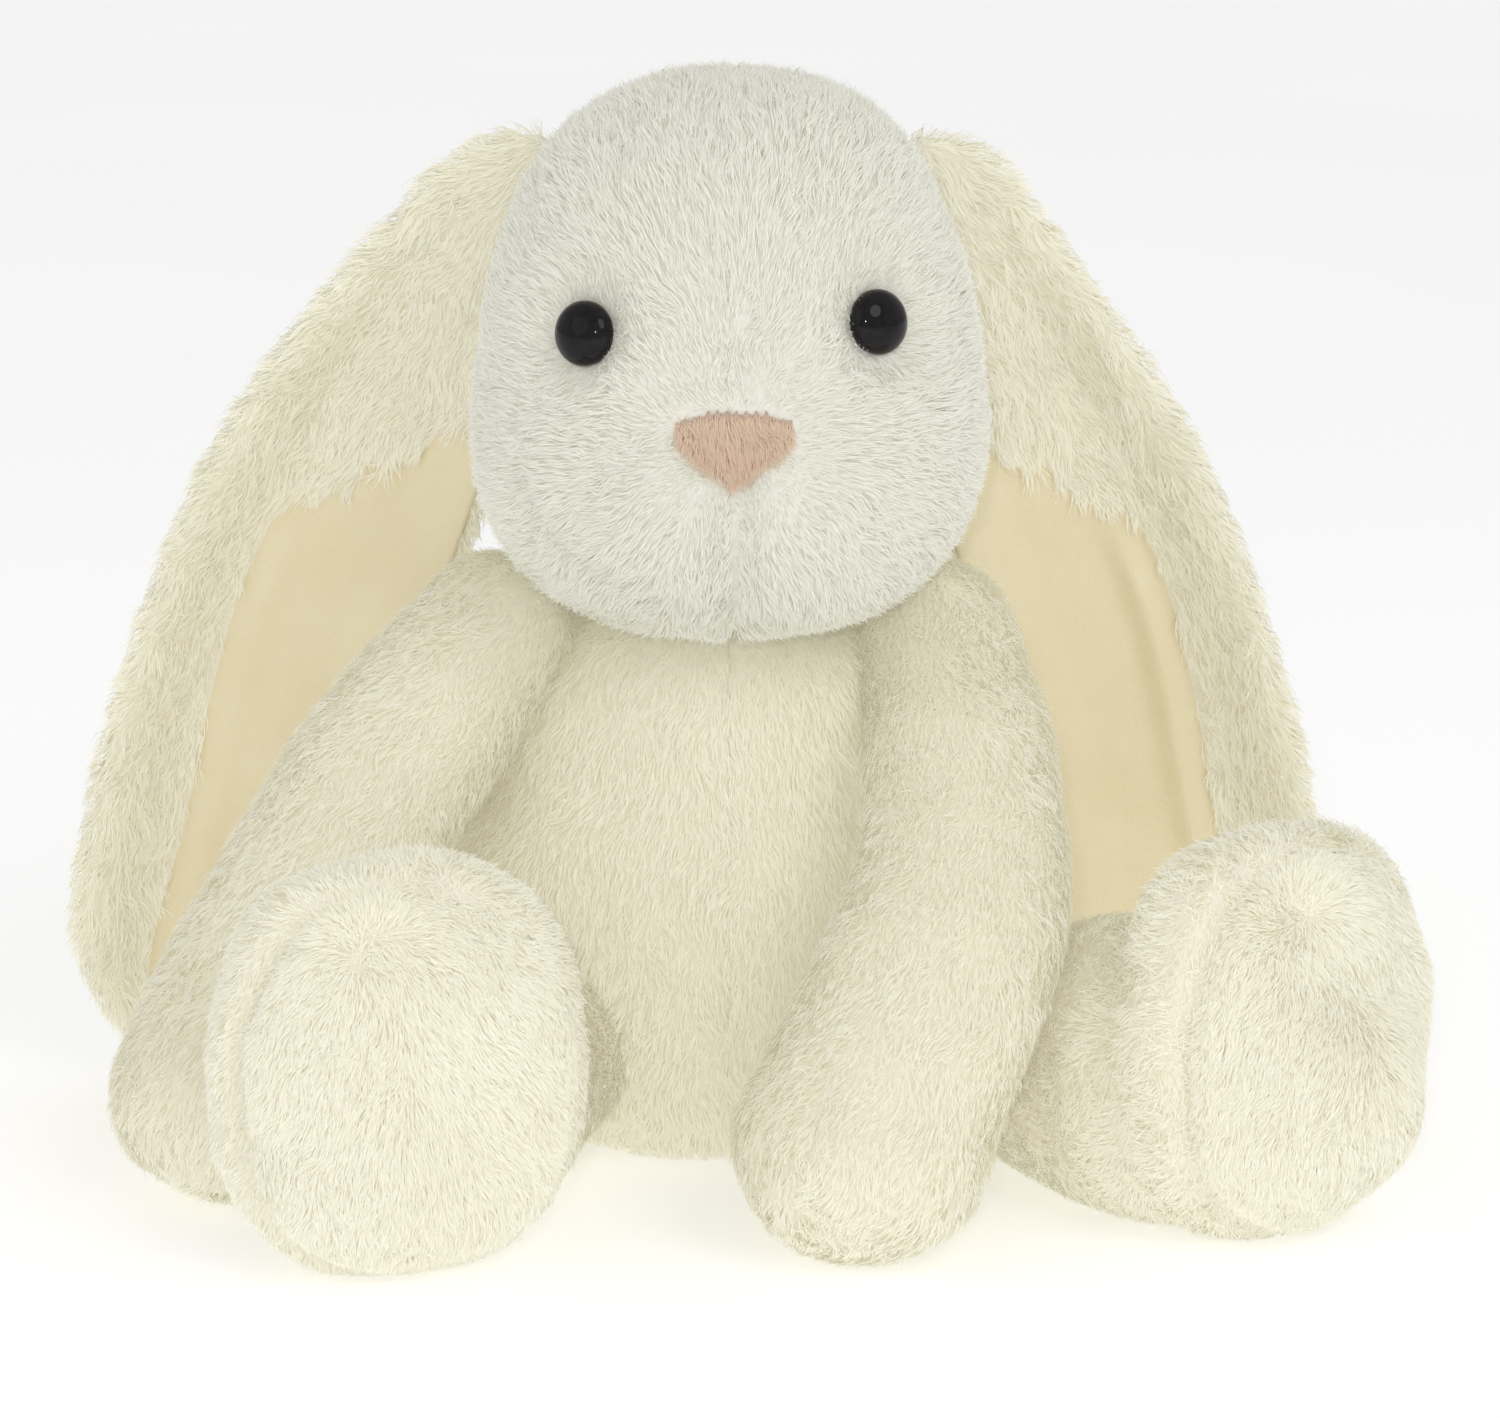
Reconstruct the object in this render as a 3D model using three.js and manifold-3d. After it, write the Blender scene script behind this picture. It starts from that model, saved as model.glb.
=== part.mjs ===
// A seated plush rabbit with lop ears, as sewn covers around stuffing.
// Millimetres, +Z up. The face looks along -Y, and the toy's own left side is +X.
import * as THREE from "three";
import { mergeVertices } from "three/addons/utils/BufferGeometryUtils.js";
import Module from "manifold-3d";

const wasm = await Module();
wasm.setup();

// ---- Driving dimensions -------------------------------------------------------------------

const PLUSH = 5; // backing cloth and the pile on it, pressed by a finger
const SEAM_GAP = 0.4; // between two panels that are sewn edge to edge
const FILL_GAP = 0.4; // between a cover and what fills it
const SOCKET_GAP = 2.2; // between a rounded limb end and the dish that it turns in

const TORSO = {
  halfWidth: 68,
  halfDepth: 48,
  halfHeight: 68,
  flattened: 8, // how much of the low end the floor takes off
  roundness: 3, // exponent of the side outline: 2 is an ellipse, more is squarer
  swell: 0.24, // how much wider the low half is than the high half
};
const HEAD = {
  halfWidth: 59.5,
  halfDepth: 55,
  halfHeight: 67,
  forward: 20, // of the torso's middle
  roundness: 2.5,
  swell: 0.14,
};
const NECK = { radius: 20, rise: 5, forward: 10, gap: 1.3, threadRadius: 0.9 };
const SEAT = { thickness: 4, hem: 15 }; // hem is from the flat's edge to the panel's edge
const SEAT_FILL_HEIGHT = 27; // top of the pellets in the seat

const EYE = {
  radius: 7.5,
  dome: 5.2,
  rim: 1.1, // height of the dome's straight edge
  steps: 4, // facets up the dome
  shankRadius: 2,
  shankLength: 7,
  sunk: 3, // how far the dome's back sits below the pressed pile
};
const EYE_SPOTS = { right: { x: -34, up: 13 }, left: { x: 35.5, up: 15.5 } };
const WASHER = { radius: 8, thickness: 1.6 };
const BORE_GAP = 0.35; // around the eye's shank, and around its washer in the fill
const PAST = 1; // how far a cutter runs past what it cuts

// The nose's top and tip are heights from the head's middle. Its last three values are the
// widths of its curves' handles, as shares of its half width.
const NOSE = {
  top: -1,
  tip: -21.5,
  halfWidth: 15.5,
  crown: 2.5,
  cloth: 1.6,
  x: 1.5,
  tipRound: 1, // how far the curve stands above the tip on its way out
  tipHandle: 0.55,
  sideHandle: 1.1,
  topHandle: 0.8,
};

// Arms leave the torso this far in from its widest point and below its top. Each stop is so far
// outward and forward of the shoulder, and at a share of the way down to the paw. dentAt is the
// share of the arm's length down to which its upper end lies in a dent in the torso.
const SHOULDER = { inward: 12, below: 9, radius: 20, openingRadius: 9, dentAt: 0.08 };
const ARMS = {
  right: {
    back: -7,
    stops: [
      { out: 37, forward: 22, down: 0.32, wide: 23.5, thick: 21 },
      { out: 50, forward: 36, down: 0.7, wide: 27, thick: 24 },
      { out: 62, forward: 49, down: 1, wide: 29, thick: 27 },
    ],
  },
  left: {
    back: -8,
    stops: [
      { out: 17, forward: 54, down: 0.32, wide: 22.5, thick: 20.5 },
      { out: -7, forward: 77, down: 0.64, wide: 30, thick: 25 },
      { out: -26, forward: 97, down: 1, wide: 33, thick: 28 },
    ],
  },
};
const PAW_FILL_START = 0.72; // share of the arm's length at which its pellets begin

// Bearings are degrees outward from straight ahead. The hip stands on the torso's oval, and the
// stretch is from the hip to the back of the foot.
const LEG = { radius: 22, calf: 1.5, standOff: 6, clearance: 6, calfAt: 0.5, heelAt: 0.85 };
const FOOT = { halfWidth: 43.5, halfHeight: 48.5, halfThickness: 26, cornering: 2.4 };
const SOLE = { seamAt: 0.42 }; // share of the foot's half thickness
const FOOT_FILL = { height: 24, startAt: 0.4 }; // startAt is a share of the way from the hip
const LEGS = {
  right: { hipBearing: 36, heading: 25, stretch: 48, soleBearing: -12 },
  left: { hipBearing: 55, heading: 51, stretch: 58, soleBearing: 40 },
};

const EAR = {
  rootUp: 45, // from the head's middle
  rootBack: 20,
  rootGap: 5, // from the head
  rootRadius: 9,
  tipHeight: 12,
  cloth: 5,
  lining: 2,
  curl: 5, // how far the two long edges stand forward of the middle
  widest: 32, // half width
  widestAt: 0.5, // share of the ear's length
  tipAt: 0.82, // share of the ear's length at which the round tip begins
  liningStart: 0.3, // share of the ear's length at which the lining begins
  liningEnd: 0.97,
  liningInset: 5, // from the ear's edge to the lining's edge
};
// The ear's middle line, from its root outward and back, and down as a share of the whole drop.
const EAR_LINE = [
  { out: 30, back: 25, down: 0.245 },
  { out: 54, back: 33, down: 0.505 },
  { out: 72, back: 36, down: 0.763 },
  { out: 83, back: 34, down: 1 },
];
const EAR_HANG = { right: 0, left: 4 }; // degrees inward about the root

const TAIL = { radius: 21, standOff: 5, height: 34, cut: 10 };

// How finely the round forms are faceted.
const CHUNKY = { around: 16, along: 10 };
const SLIM = { around: 10, along: 12 };
const FOOT_GRID = { around: 14, along: 8 };
const BALL = { around: 14, along: 8 };
const EAR_GRID = { across: 4, along: 9 };
const LATHE_SIDES = 12;
const THREAD_GRID = { across: 5, around: 16 };
const NOSE_STEPS = 6; // along each of the outline's curves

// ---- Places that follow from the sizes ----------------------------------------------------

const X_AXIS = new THREE.Vector3(1, 0, 0);
const Y_AXIS = new THREE.Vector3(0, 1, 0);
const Z_AXIS = new THREE.Vector3(0, 0, 1);
const radians = THREE.MathUtils.degToRad;
const torsoMiddle = new THREE.Vector3(0, 0, TORSO.halfHeight - TORSO.flattened);
const torsoTop = torsoMiddle.z + TORSO.halfHeight;
const headMiddle = new THREE.Vector3(0, -HEAD.forward, torsoTop + HEAD.halfHeight);
const neckMiddle = new THREE.Vector3(0, -NECK.forward, torsoTop + NECK.rise);
const tailMiddle = new THREE.Vector3(0, TORSO.halfDepth + TAIL.standOff, TAIL.height);

// How wide an upright form is at a level from -1 at its low end to 1 at its high end.
function spreadAt(size, level) {
  const ring = Math.max(0, 1 - Math.abs(level) ** size.roundness) ** (1 / size.roundness);
  return ring * (1 - size.swell * level);
}

// ---- Materials ----------------------------------------------------------------------------

const material = (color, roughness = 0.95) =>
  new THREE.MeshStandardMaterial({ color, roughness, metalness: 0 });
const FUR = "#ece8d8";
const FACE_FUR = "#efede4";
const NOSE_FUR = "#dfbfa8";
const LINING = "#efe2bd";
const FILL = "#f6f5f0";
const PELLET_BAG = "#e4e2da";
const THREAD = "#e6dfca";
const EYE_BLACK = "#0b0a0c";
const WASHER_WHITE = "#e9e9e6";

// ---- Solid helpers ------------------------------------------------------------------------

const bunny = new THREE.Group();

function toSolid(geometry) {
  const bare = geometry.clone();
  bare.deleteAttribute("normal");
  bare.deleteAttribute("uv");
  const merged = mergeVertices(bare, 1e-4);
  return new wasm.Manifold(
    new wasm.Mesh({
      numProp: 3,
      vertProperties: new Float32Array(merged.attributes.position.array),
      triVerts: new Uint32Array(merged.index.array),
    }),
  );
}

function toGeometry(solid) {
  const mesh = solid.getMesh();
  const geometry = new THREE.BufferGeometry();
  geometry.setAttribute("position", new THREE.BufferAttribute(mesh.vertProperties, 3));
  geometry.setIndex(new THREE.BufferAttribute(mesh.triVerts, 1));
  geometry.computeVertexNormals();
  return geometry;
}

function addPiece(name, solid, color, roughness) {
  const mesh = new THREE.Mesh(toGeometry(solid), material(color, roughness));
  mesh.name = name;
  bunny.add(mesh);
}

// A closed surface from a sphere's grid. place(along, angle) gives the point at a share of the
// way from the low pole to the high pole, and at an angle around the axis.
function warpedSphere(grid, place) {
  const geometry = new THREE.SphereGeometry(1, grid.around, grid.along);
  const spot = geometry.attributes.position;
  for (let i = 0; i < spot.count; i += 1) {
    const y = THREE.MathUtils.clamp(spot.getY(i), -1, 1);
    const along = Math.acos(-y) / Math.PI;
    const angle = Math.atan2(spot.getZ(i), spot.getX(i));
    const to = place(along, angle);
    spot.setXYZ(i, to.x, to.y, to.z);
  }
  return toSolid(geometry);
}

const power = (value, exponent) => Math.sign(value) * Math.abs(value) ** exponent;

// An upright padded form. It is inset by `inset` all round and cut flat at the floor.
function uprightForm(size, middle, inset) {
  const low = middle.z - size.halfHeight;
  return warpedSphere(CHUNKY, (along, angle) => {
    const level = -Math.cos(Math.PI * along);
    const spread = spreadAt(size, level);
    return new THREE.Vector3(
      middle.x + (size.halfWidth - inset) * spread * Math.cos(angle),
      middle.y - (size.halfDepth - inset) * spread * Math.sin(angle),
      Math.max(middle.z + level * (size.halfHeight - inset), Math.max(low, 0) + inset),
    );
  });
}

const headForm = (inset) => uprightForm(HEAD, headMiddle, inset);
const torsoForm = (inset) => uprightForm(TORSO, torsoMiddle, inset);

// The forward point of the head's surface at a spot {x, up}, and the outward direction there.
function onFace({ x, up }) {
  const spread = spreadAt(HEAD, up / HEAD.halfHeight);
  const across = x / (HEAD.halfWidth * spread);
  const forward = HEAD.halfDepth * spread * Math.sqrt(1 - across * across);
  const from = new THREE.Vector3(x, -forward, up);
  const outward = new THREE.Vector3(
    from.x / HEAD.halfWidth ** 2,
    from.y / HEAD.halfDepth ** 2,
    from.z / HEAD.halfHeight ** 2,
  ).normalize();
  return { point: from.add(headMiddle), outward };
}

// A limb with round ends along a route of oval sections, inset by `inset`.
function limbForm(route, inset) {
  const curve = new THREE.CatmullRomCurve3(route.map((stop) => stop.at));
  const length = curve.getLength();
  const sizeAt = (share, key) => {
    const place = share * (route.length - 1);
    const index = Math.min(Math.floor(place), route.length - 2);
    return THREE.MathUtils.lerp(route[index][key], route[index + 1][key], place - index);
  };
  const startCap = sizeAt(0, "wide") - inset;
  const endCap = sizeAt(1, "wide") - inset;
  const capShare = 0.25; // of the grid, at each end
  return warpedSphere(SLIM, (along, angle) => {
    let distance = (length * (along - capShare)) / (1 - 2 * capShare);
    let scale = 1;
    if (along < capShare) {
      const turn = (along / capShare) * (Math.PI / 2);
      distance = -startCap * Math.cos(turn);
      scale = Math.sin(turn);
    } else if (along > 1 - capShare) {
      const turn = ((1 - along) / capShare) * (Math.PI / 2);
      distance = length + endCap * Math.cos(turn);
      scale = Math.sin(turn);
    }
    const share = THREE.MathUtils.clamp(distance / length, 0, 1);
    const forward = curve.getTangentAt(share);
    const center = curve.getPointAt(share).addScaledVector(forward, distance - share * length);
    const side = new THREE.Vector3(0, 0, 1).cross(forward).normalize();
    const over = side.clone().cross(forward);
    const wide = (sizeAt(share, "wide") - inset) * scale * Math.cos(angle);
    const thick = (sizeAt(share, "thick") - inset) * scale * Math.sin(angle);
    const point = center.addScaledVector(side, wide).addScaledVector(over, thick);
    point.z = Math.max(point.z, inset);
    return point;
  });
}

// A foot is an oval cushion whose sole faces -Y before it is turned about +Z.
function footForm(leg, inset) {
  return warpedSphere(FOOT_GRID, (along, angle) => {
    const level = -Math.cos(Math.PI * along);
    const ring = Math.sin(Math.PI * along);
    const soft = 2 / FOOT.cornering;
    const x = (FOOT.halfWidth - inset) * power(ring * Math.cos(angle), soft);
    const z = (FOOT.halfHeight - inset) * power(ring * Math.sin(angle), soft);
    const y = (FOOT.halfThickness - inset) * power(level, soft);
    const point = new THREE.Vector3(x, y, z);
    point.applyAxisAngle(Z_AXIS, leg.turn).add(leg.foot);
    point.z = Math.max(point.z, inset);
    return point;
  });
}

function legForm(leg, inset) {
  const ankle = leg.foot.clone();
  ankle.z = leg.hip.z;
  const calf = leg.hip.clone().lerp(ankle, LEG.calfAt);
  const heel = leg.hip.clone().lerp(ankle, LEG.heelAt);
  const route = [
    { at: leg.hip, wide: LEG.radius, thick: LEG.radius },
    { at: calf, wide: LEG.radius + LEG.calf, thick: LEG.radius },
    { at: heel, wide: LEG.radius, thick: LEG.radius },
  ];
  return limbForm(route, inset).add(footForm(leg, inset));
}

function ball(center, radius) {
  const geometry = new THREE.SphereGeometry(radius, BALL.around, BALL.along);
  geometry.rotateX(Math.PI / 2);
  geometry.translate(center.x, center.y, center.z);
  return toSolid(geometry);
}

// A block big enough to cut any form, with one face at `point` and lying behind it.
function halfSpace(point, outward) {
  const reach = 600;
  const geometry = new THREE.BoxGeometry(reach, reach, reach);
  geometry.translate(0, 0, -reach / 2);
  const turn = new THREE.Quaternion().setFromUnitVectors(
    new THREE.Vector3(0, 0, 1),
    outward.clone().normalize(),
  );
  geometry.applyQuaternion(turn);
  geometry.translate(point.x, point.y, point.z);
  return toSolid(geometry);
}

const behind = (solid, point, outward) => solid.intersect(halfSpace(point, outward));
const ahead = (solid, point, outward) => solid.subtract(halfSpace(point, outward));

const sides = [
  ["right", -1],
  ["left", 1],
];

// Splits a cover at its middle seam into a left and a right panel.
function addPanels(name, cover, color) {
  for (const [side, sign] of sides) {
    const seam = new THREE.Vector3((sign * SEAM_GAP) / 2, 0, 0);
    const outward = X_AXIS.clone().multiplyScalar(-sign);
    addPiece(`${name}_${side}`, behind(cover, seam, outward), color);
  }
}

// A lathe profile [radius, height] pairs, stood on `point` with its axis along `outward`.
function lathed(profile, point, outward) {
  const geometry = new THREE.LatheGeometry(
    profile.map(([radius, height]) => new THREE.Vector2(radius, height)),
    LATHE_SIDES,
  );
  geometry.rotateX(Math.PI / 2);
  const turn = new THREE.Quaternion().setFromUnitVectors(Z_AXIS, outward);
  geometry.applyQuaternion(turn);
  geometry.translate(point.x, point.y, point.z);
  return toSolid(geometry);
}

const disc = (radius, low, high, point, outward) =>
  lathed([[0, low], [radius, low], [radius, high], [0, high]], point, outward);

// ---- Head ---------------------------------------------------------------------------------

const neckDish = ball(neckMiddle, NECK.radius + NECK.gap);

let headCover = headForm(0).subtract(headForm(PLUSH)).subtract(neckDish);
let headFill = headForm(PLUSH + FILL_GAP).subtract(neckDish);

for (const [side] of sides) {
  const { point, outward } = onFace(EYE_SPOTS[side]);
  const seat = -EYE.sunk; // the back of the dome, along the outward direction
  const shankEnd = seat - EYE.shankLength;
  const washerTop = -PLUSH - BORE_GAP;
  const washerLow = washerTop - WASHER.thickness;
  const outline = [[0, shankEnd], [EYE.shankRadius, shankEnd], [EYE.shankRadius, seat]];
  outline.push([EYE.radius, seat]);
  for (let step = 0; step < EYE.steps; step += 1) {
    const turn = ((step / EYE.steps) * Math.PI) / 2;
    const rise = EYE.rim + (EYE.dome - EYE.rim) * Math.sin(turn);
    outline.push([EYE.radius * Math.cos(turn), seat + rise]);
  }
  outline.push([0, seat + EYE.dome]);
  addPiece(`eye_${side}`, lathed(outline, point, outward), EYE_BLACK, 0.08);

  const washer = disc(WASHER.radius, washerLow, washerTop, point, outward);
  const bore = disc(
    EYE.shankRadius + BORE_GAP, washerLow - PAST, washerTop + PAST, point, outward,
  );
  addPiece(`eye_washer_${side}`, washer.subtract(bore), WASHER_WHITE, 0.5);

  const room = disc(EYE.radius + BORE_GAP, seat - BORE_GAP, EYE.dome, point, outward);
  const hole = disc(EYE.shankRadius + BORE_GAP, shankEnd - PAST, seat, point, outward);
  const pocketLow = Math.min(washerLow, shankEnd) - BORE_GAP;
  const pocket = disc(WASHER.radius + BORE_GAP, pocketLow, 0, point, outward);
  headCover = headCover.subtract(room).subtract(hole);
  const washerRoom = disc(WASHER.radius + BORE_GAP, pocketLow, washerTop + BORE_GAP, point, outward);
  headCover = headCover.subtract(washerRoom);
  headFill = headFill.subtract(pocket);
}

// The nose is a patch of short-pile cloth sewn on the face, three-sided with rounded corners.
const noseOutline = new THREE.Shape();
const noseCorner = NOSE.top - NOSE.crown;
const noseBow = NOSE.top - NOSE.halfWidth / 2; // where the slanted sides bow out
noseOutline.moveTo(NOSE.x, NOSE.tip);
const noseAt = (share) => NOSE.x + share * NOSE.halfWidth;
noseOutline.bezierCurveTo(
  noseAt(NOSE.tipHandle), NOSE.tip + NOSE.tipRound,
  noseAt(NOSE.sideHandle), noseBow,
  noseAt(1), noseCorner,
);
noseOutline.bezierCurveTo(
  noseAt(NOSE.topHandle), NOSE.top,
  noseAt(-NOSE.topHandle), NOSE.top,
  noseAt(-1), noseCorner,
);
noseOutline.bezierCurveTo(
  noseAt(-NOSE.sideHandle), noseBow,
  noseAt(-NOSE.tipHandle), NOSE.tip + NOSE.tipRound,
  NOSE.x, NOSE.tip,
);
const nosePrism = new THREE.ExtrudeGeometry(noseOutline, {
  depth: HEAD.halfDepth * 2,
  bevelEnabled: false,
  curveSegments: NOSE_STEPS,
});
nosePrism.rotateX(Math.PI / 2); // the outline's second number is now the height
nosePrism.translate(headMiddle.x, headMiddle.y, headMiddle.z);
const noseColumn = toSolid(nosePrism);
const noseShell = headForm(-NOSE.cloth - SEAM_GAP).subtract(headForm(-SEAM_GAP));
addPiece("nose_patch", noseShell.intersect(noseColumn), NOSE_FUR);

addPanels("head_panel", headCover, FACE_FUR);
addPiece("head_stuffing", headFill, FILL);

// ---- Neck ---------------------------------------------------------------------------------

const neckBall = ball(neckMiddle, NECK.radius);
const threadRing = (radius) => {
  const geometry = new THREE.TorusGeometry(
    NECK.radius - NECK.threadRadius, radius, THREAD_GRID.across, THREAD_GRID.around,
  );
  geometry.translate(neckMiddle.x, neckMiddle.y, neckMiddle.z);
  return toSolid(geometry);
};
addPiece("neck_stuffing", neckBall.subtract(threadRing(NECK.threadRadius + FILL_GAP)), FILL);
addPiece("neck_seam_thread", threadRing(NECK.threadRadius), THREAD);

// ---- Ears ---------------------------------------------------------------------------------

// The root stands beside the head, clear of it.
const rootSpread = spreadAt(HEAD, EAR.rootUp / HEAD.halfHeight);
const rootDeep = EAR.rootBack / (HEAD.halfDepth * rootSpread);
const rootOut = HEAD.halfWidth * rootSpread * Math.sqrt(1 - rootDeep ** 2);
const earRoot = new THREE.Vector3(rootOut + EAR.rootGap + EAR.rootRadius, EAR.rootBack, EAR.rootUp);
earRoot.add(headMiddle);

// A sheet that follows the ear's middle line between two shares of its length, from `front` to
// `back` behind the line, as wide as the ear less `inset`.
function earSheet(sign, hang, from, to, inset, front, back) {
  const root = earRoot.clone().setX(sign * earRoot.x);
  const drop = earRoot.z - EAR.tipHeight;
  const stops = EAR_LINE.map(
    ({ out, back: behindRoot, down }) =>
      new THREE.Vector3(root.x + sign * out, root.y + behindRoot, root.z - down * drop),
  );
  const curve = new THREE.CatmullRomCurve3([root, ...stops]);
  const widthAt = (share) => {
    const grown = THREE.MathUtils.smoothstep(share, 0, EAR.widestAt);
    const wide = THREE.MathUtils.lerp(EAR.rootRadius, EAR.widest, grown);
    const past = Math.max(0, (share - EAR.tipAt) / (1 - EAR.tipAt));
    return wide * Math.sqrt(Math.max(0, 1 - past * past));
  };
  const geometry = new THREE.BoxGeometry(1, 1, 1, EAR_GRID.across, 1, EAR_GRID.along);
  const spot = geometry.attributes.position;
  for (let i = 0; i < spot.count; i += 1) {
    const row = spot.getZ(i) + 0.5;
    const eased = (Math.sin((row * Math.PI) / 2) + row) / 2; // rows close up at the tip
    const share = THREE.MathUtils.lerp(from, to, eased);
    const column = spot.getX(i) * 2;
    const forward = curve.getTangentAt(share);
    const across = new THREE.Vector3(forward.z, 0, -forward.x).normalize();
    const half = Math.max(widthAt(share) - inset, 1);
    const point = curve.getPointAt(share).addScaledVector(across, column * half);
    const curled = EAR.curl * column * column * Math.min(1, half / EAR.widest);
    point.y += (spot.getY(i) > 0 ? back : front) - curled;
    point.sub(root).applyAxisAngle(Y_AXIS, radians(hang) * sign).add(root);
    spot.setXYZ(i, point.x, point.y, point.z);
  }
  return toSolid(geometry);
}

for (const [side, sign] of sides) {
  const hang = EAR_HANG[side];
  const outer = earSheet(sign, hang, 0, 1, 0, 0, EAR.cloth);
  const liningFront = -EAR.lining - SEAM_GAP;
  const lining = earSheet(
    sign, hang, EAR.liningStart, EAR.liningEnd, EAR.liningInset, liningFront, -SEAM_GAP,
  );
  addPiece(`ear_outer_${side}`, outer, FUR);
  addPiece(`ear_lining_${side}`, lining, LINING);
}

// ---- Arms ---------------------------------------------------------------------------------

// Every rounded end that the torso has a dish for.
const sockets = [neckDish];

function armRoute(sign, { back, stops }) {
  const shoulder = new THREE.Vector3(
    sign * (TORSO.halfWidth - SHOULDER.inward),
    back,
    torsoTop - SHOULDER.below,
  );
  const pawHeight = stops.at(-1).thick;
  const rest = stops.map(({ out, forward, down, wide, thick }) => ({
    at: new THREE.Vector3(
      shoulder.x + sign * out,
      shoulder.y - forward,
      THREE.MathUtils.lerp(shoulder.z, pawHeight, down),
    ),
    wide,
    thick,
  }));
  return [{ at: shoulder, wide: SHOULDER.radius, thick: SHOULDER.radius }, ...rest];
}

for (const [side, sign] of sides) {
  const route = armRoute(sign, ARMS[side]);
  const shoulder = route[0].at;
  const opening = shoulder.clone();
  opening.x -= sign * SHOULDER.radius;
  const mouth = ball(opening, SHOULDER.openingRadius);
  const cover = limbForm(route, 0).subtract(limbForm(route, PLUSH)).subtract(mouth);
  const fill = limbForm(route, PLUSH + FILL_GAP);
  const curve = new THREE.CatmullRomCurve3(route.map((stop) => stop.at));
  const cut = curve.getPointAt(PAW_FILL_START);
  const forward = curve.getTangentAt(PAW_FILL_START);
  const bagCut = cut.clone().addScaledVector(forward, FILL_GAP);
  addPiece(`arm_cover_${side}`, cover, FUR);
  addPiece(`arm_stuffing_${side}`, behind(fill, cut, forward), FILL);
  addPiece(`paw_pellet_bag_${side}`, ahead(fill, bagCut, forward), PELLET_BAG);
  sockets.push(ball(shoulder, SHOULDER.radius + SOCKET_GAP));
  sockets.push(ball(curve.getPointAt(SHOULDER.dentAt), SHOULDER.radius + SOCKET_GAP));
}

// ---- Legs ---------------------------------------------------------------------------------

const wayAt = (sign, bearing) =>
  new THREE.Vector3(sign * Math.sin(radians(bearing)), -Math.cos(radians(bearing)), 0);

function placeLeg(sign, { hipBearing, heading, stretch, soleBearing }) {
  const oval = new THREE.Vector3(TORSO.halfWidth, TORSO.halfDepth, 0).addScalar(LEG.standOff);
  const hip = wayAt(sign, hipBearing).multiply(oval).setZ(LEG.radius + LEG.clearance);
  const foot = hip.clone().addScaledVector(wayAt(sign, heading), stretch + FOOT.halfThickness);
  foot.z = FOOT.halfHeight;
  return { hip, foot, turn: sign * radians(soleBearing), soleWay: wayAt(sign, soleBearing) };
}

for (const [side, sign] of sides) {
  const leg = placeLeg(sign, LEGS[side]);
  const { soleWay } = leg;
  const seam = leg.foot.clone().addScaledVector(soleWay, SOLE.seamAt * FOOT.halfThickness);
  const soleEdge = seam.clone().addScaledVector(soleWay, SEAM_GAP);
  const shell = legForm(leg, 0).subtract(legForm(leg, PLUSH));
  const fill = legForm(leg, PLUSH + FILL_GAP);
  const bagTop = new THREE.Vector3(0, 0, FOOT_FILL.height);
  const bagBack = leg.hip.clone().lerp(leg.foot, FOOT_FILL.startAt);
  const footWay = leg.foot.clone().sub(leg.hip).setZ(0).normalize();
  const bag = behind(ahead(fill, bagBack, footWay), bagTop, Z_AXIS);
  const roomTop = new THREE.Vector3(0, 0, FOOT_FILL.height + FILL_GAP);
  const roomBack = bagBack.clone().addScaledVector(footWay, -FILL_GAP);
  const room = ahead(halfSpace(roomTop, Z_AXIS), roomBack, footWay);
  addPiece(`leg_cover_${side}`, behind(shell, seam, soleWay), FUR);
  addPiece(`sole_panel_${side}`, ahead(shell, soleEdge, soleWay), FUR);
  addPiece(`leg_stuffing_${side}`, fill.subtract(room), FILL);
  addPiece(`foot_pellet_bag_${side}`, bag, PELLET_BAG);
  sockets.push(ball(leg.hip, LEG.radius + SOCKET_GAP));
}

// ---- Tail ---------------------------------------------------------------------------------

const tailCut = tailMiddle.clone();
tailCut.y -= TAIL.cut;
const tailWay = Y_AXIS.clone().negate();
const tailCover = ball(tailMiddle, TAIL.radius).subtract(ball(tailMiddle, TAIL.radius - PLUSH));
const tailFill = ball(tailMiddle, TAIL.radius - PLUSH - FILL_GAP);
addPiece("tail_cover", behind(tailCover, tailCut, tailWay), FUR);
addPiece("tail_stuffing", behind(tailFill, tailCut, tailWay), FILL);
sockets.push(ball(tailMiddle, TAIL.radius + SOCKET_GAP));

// ---- Torso --------------------------------------------------------------------------------

// An upright oval block from `low` to `high`.
function ovalBlock(halfWidth, halfDepth, low, high) {
  const geometry = new THREE.CylinderGeometry(1, 1, high - low, CHUNKY.around);
  geometry.rotateX(Math.PI / 2);
  geometry.scale(halfWidth, halfDepth, 1);
  geometry.translate(torsoMiddle.x, torsoMiddle.y, (low + high) / 2);
  return toSolid(geometry);
}

const flatSpread = spreadAt(TORSO, -torsoMiddle.z / TORSO.halfHeight);
const seatWide = TORSO.halfWidth * flatSpread - SEAT.hem;
const seatDeep = TORSO.halfDepth * flatSpread - SEAT.hem;
const seatPanel = ovalBlock(seatWide, seatDeep, 0, SEAT.thickness);
const seatRoom = ovalBlock(seatWide + SEAM_GAP, seatDeep + SEAM_GAP, -PAST, PLUSH + PAST);
const socketRoom = sockets.reduce((all, next) => all.add(next));
const torsoShell = torsoForm(0).subtract(torsoForm(PLUSH)).subtract(socketRoom);
const torsoFill = torsoForm(PLUSH + FILL_GAP).subtract(socketRoom);
const seatLevel = new THREE.Vector3(0, 0, SEAT_FILL_HEIGHT);
const stuffingLevel = new THREE.Vector3(0, 0, SEAT_FILL_HEIGHT + FILL_GAP);
addPiece("seat_panel", seatPanel, FUR);
addPanels("torso_panel", torsoShell.subtract(seatRoom), FUR);
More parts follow.
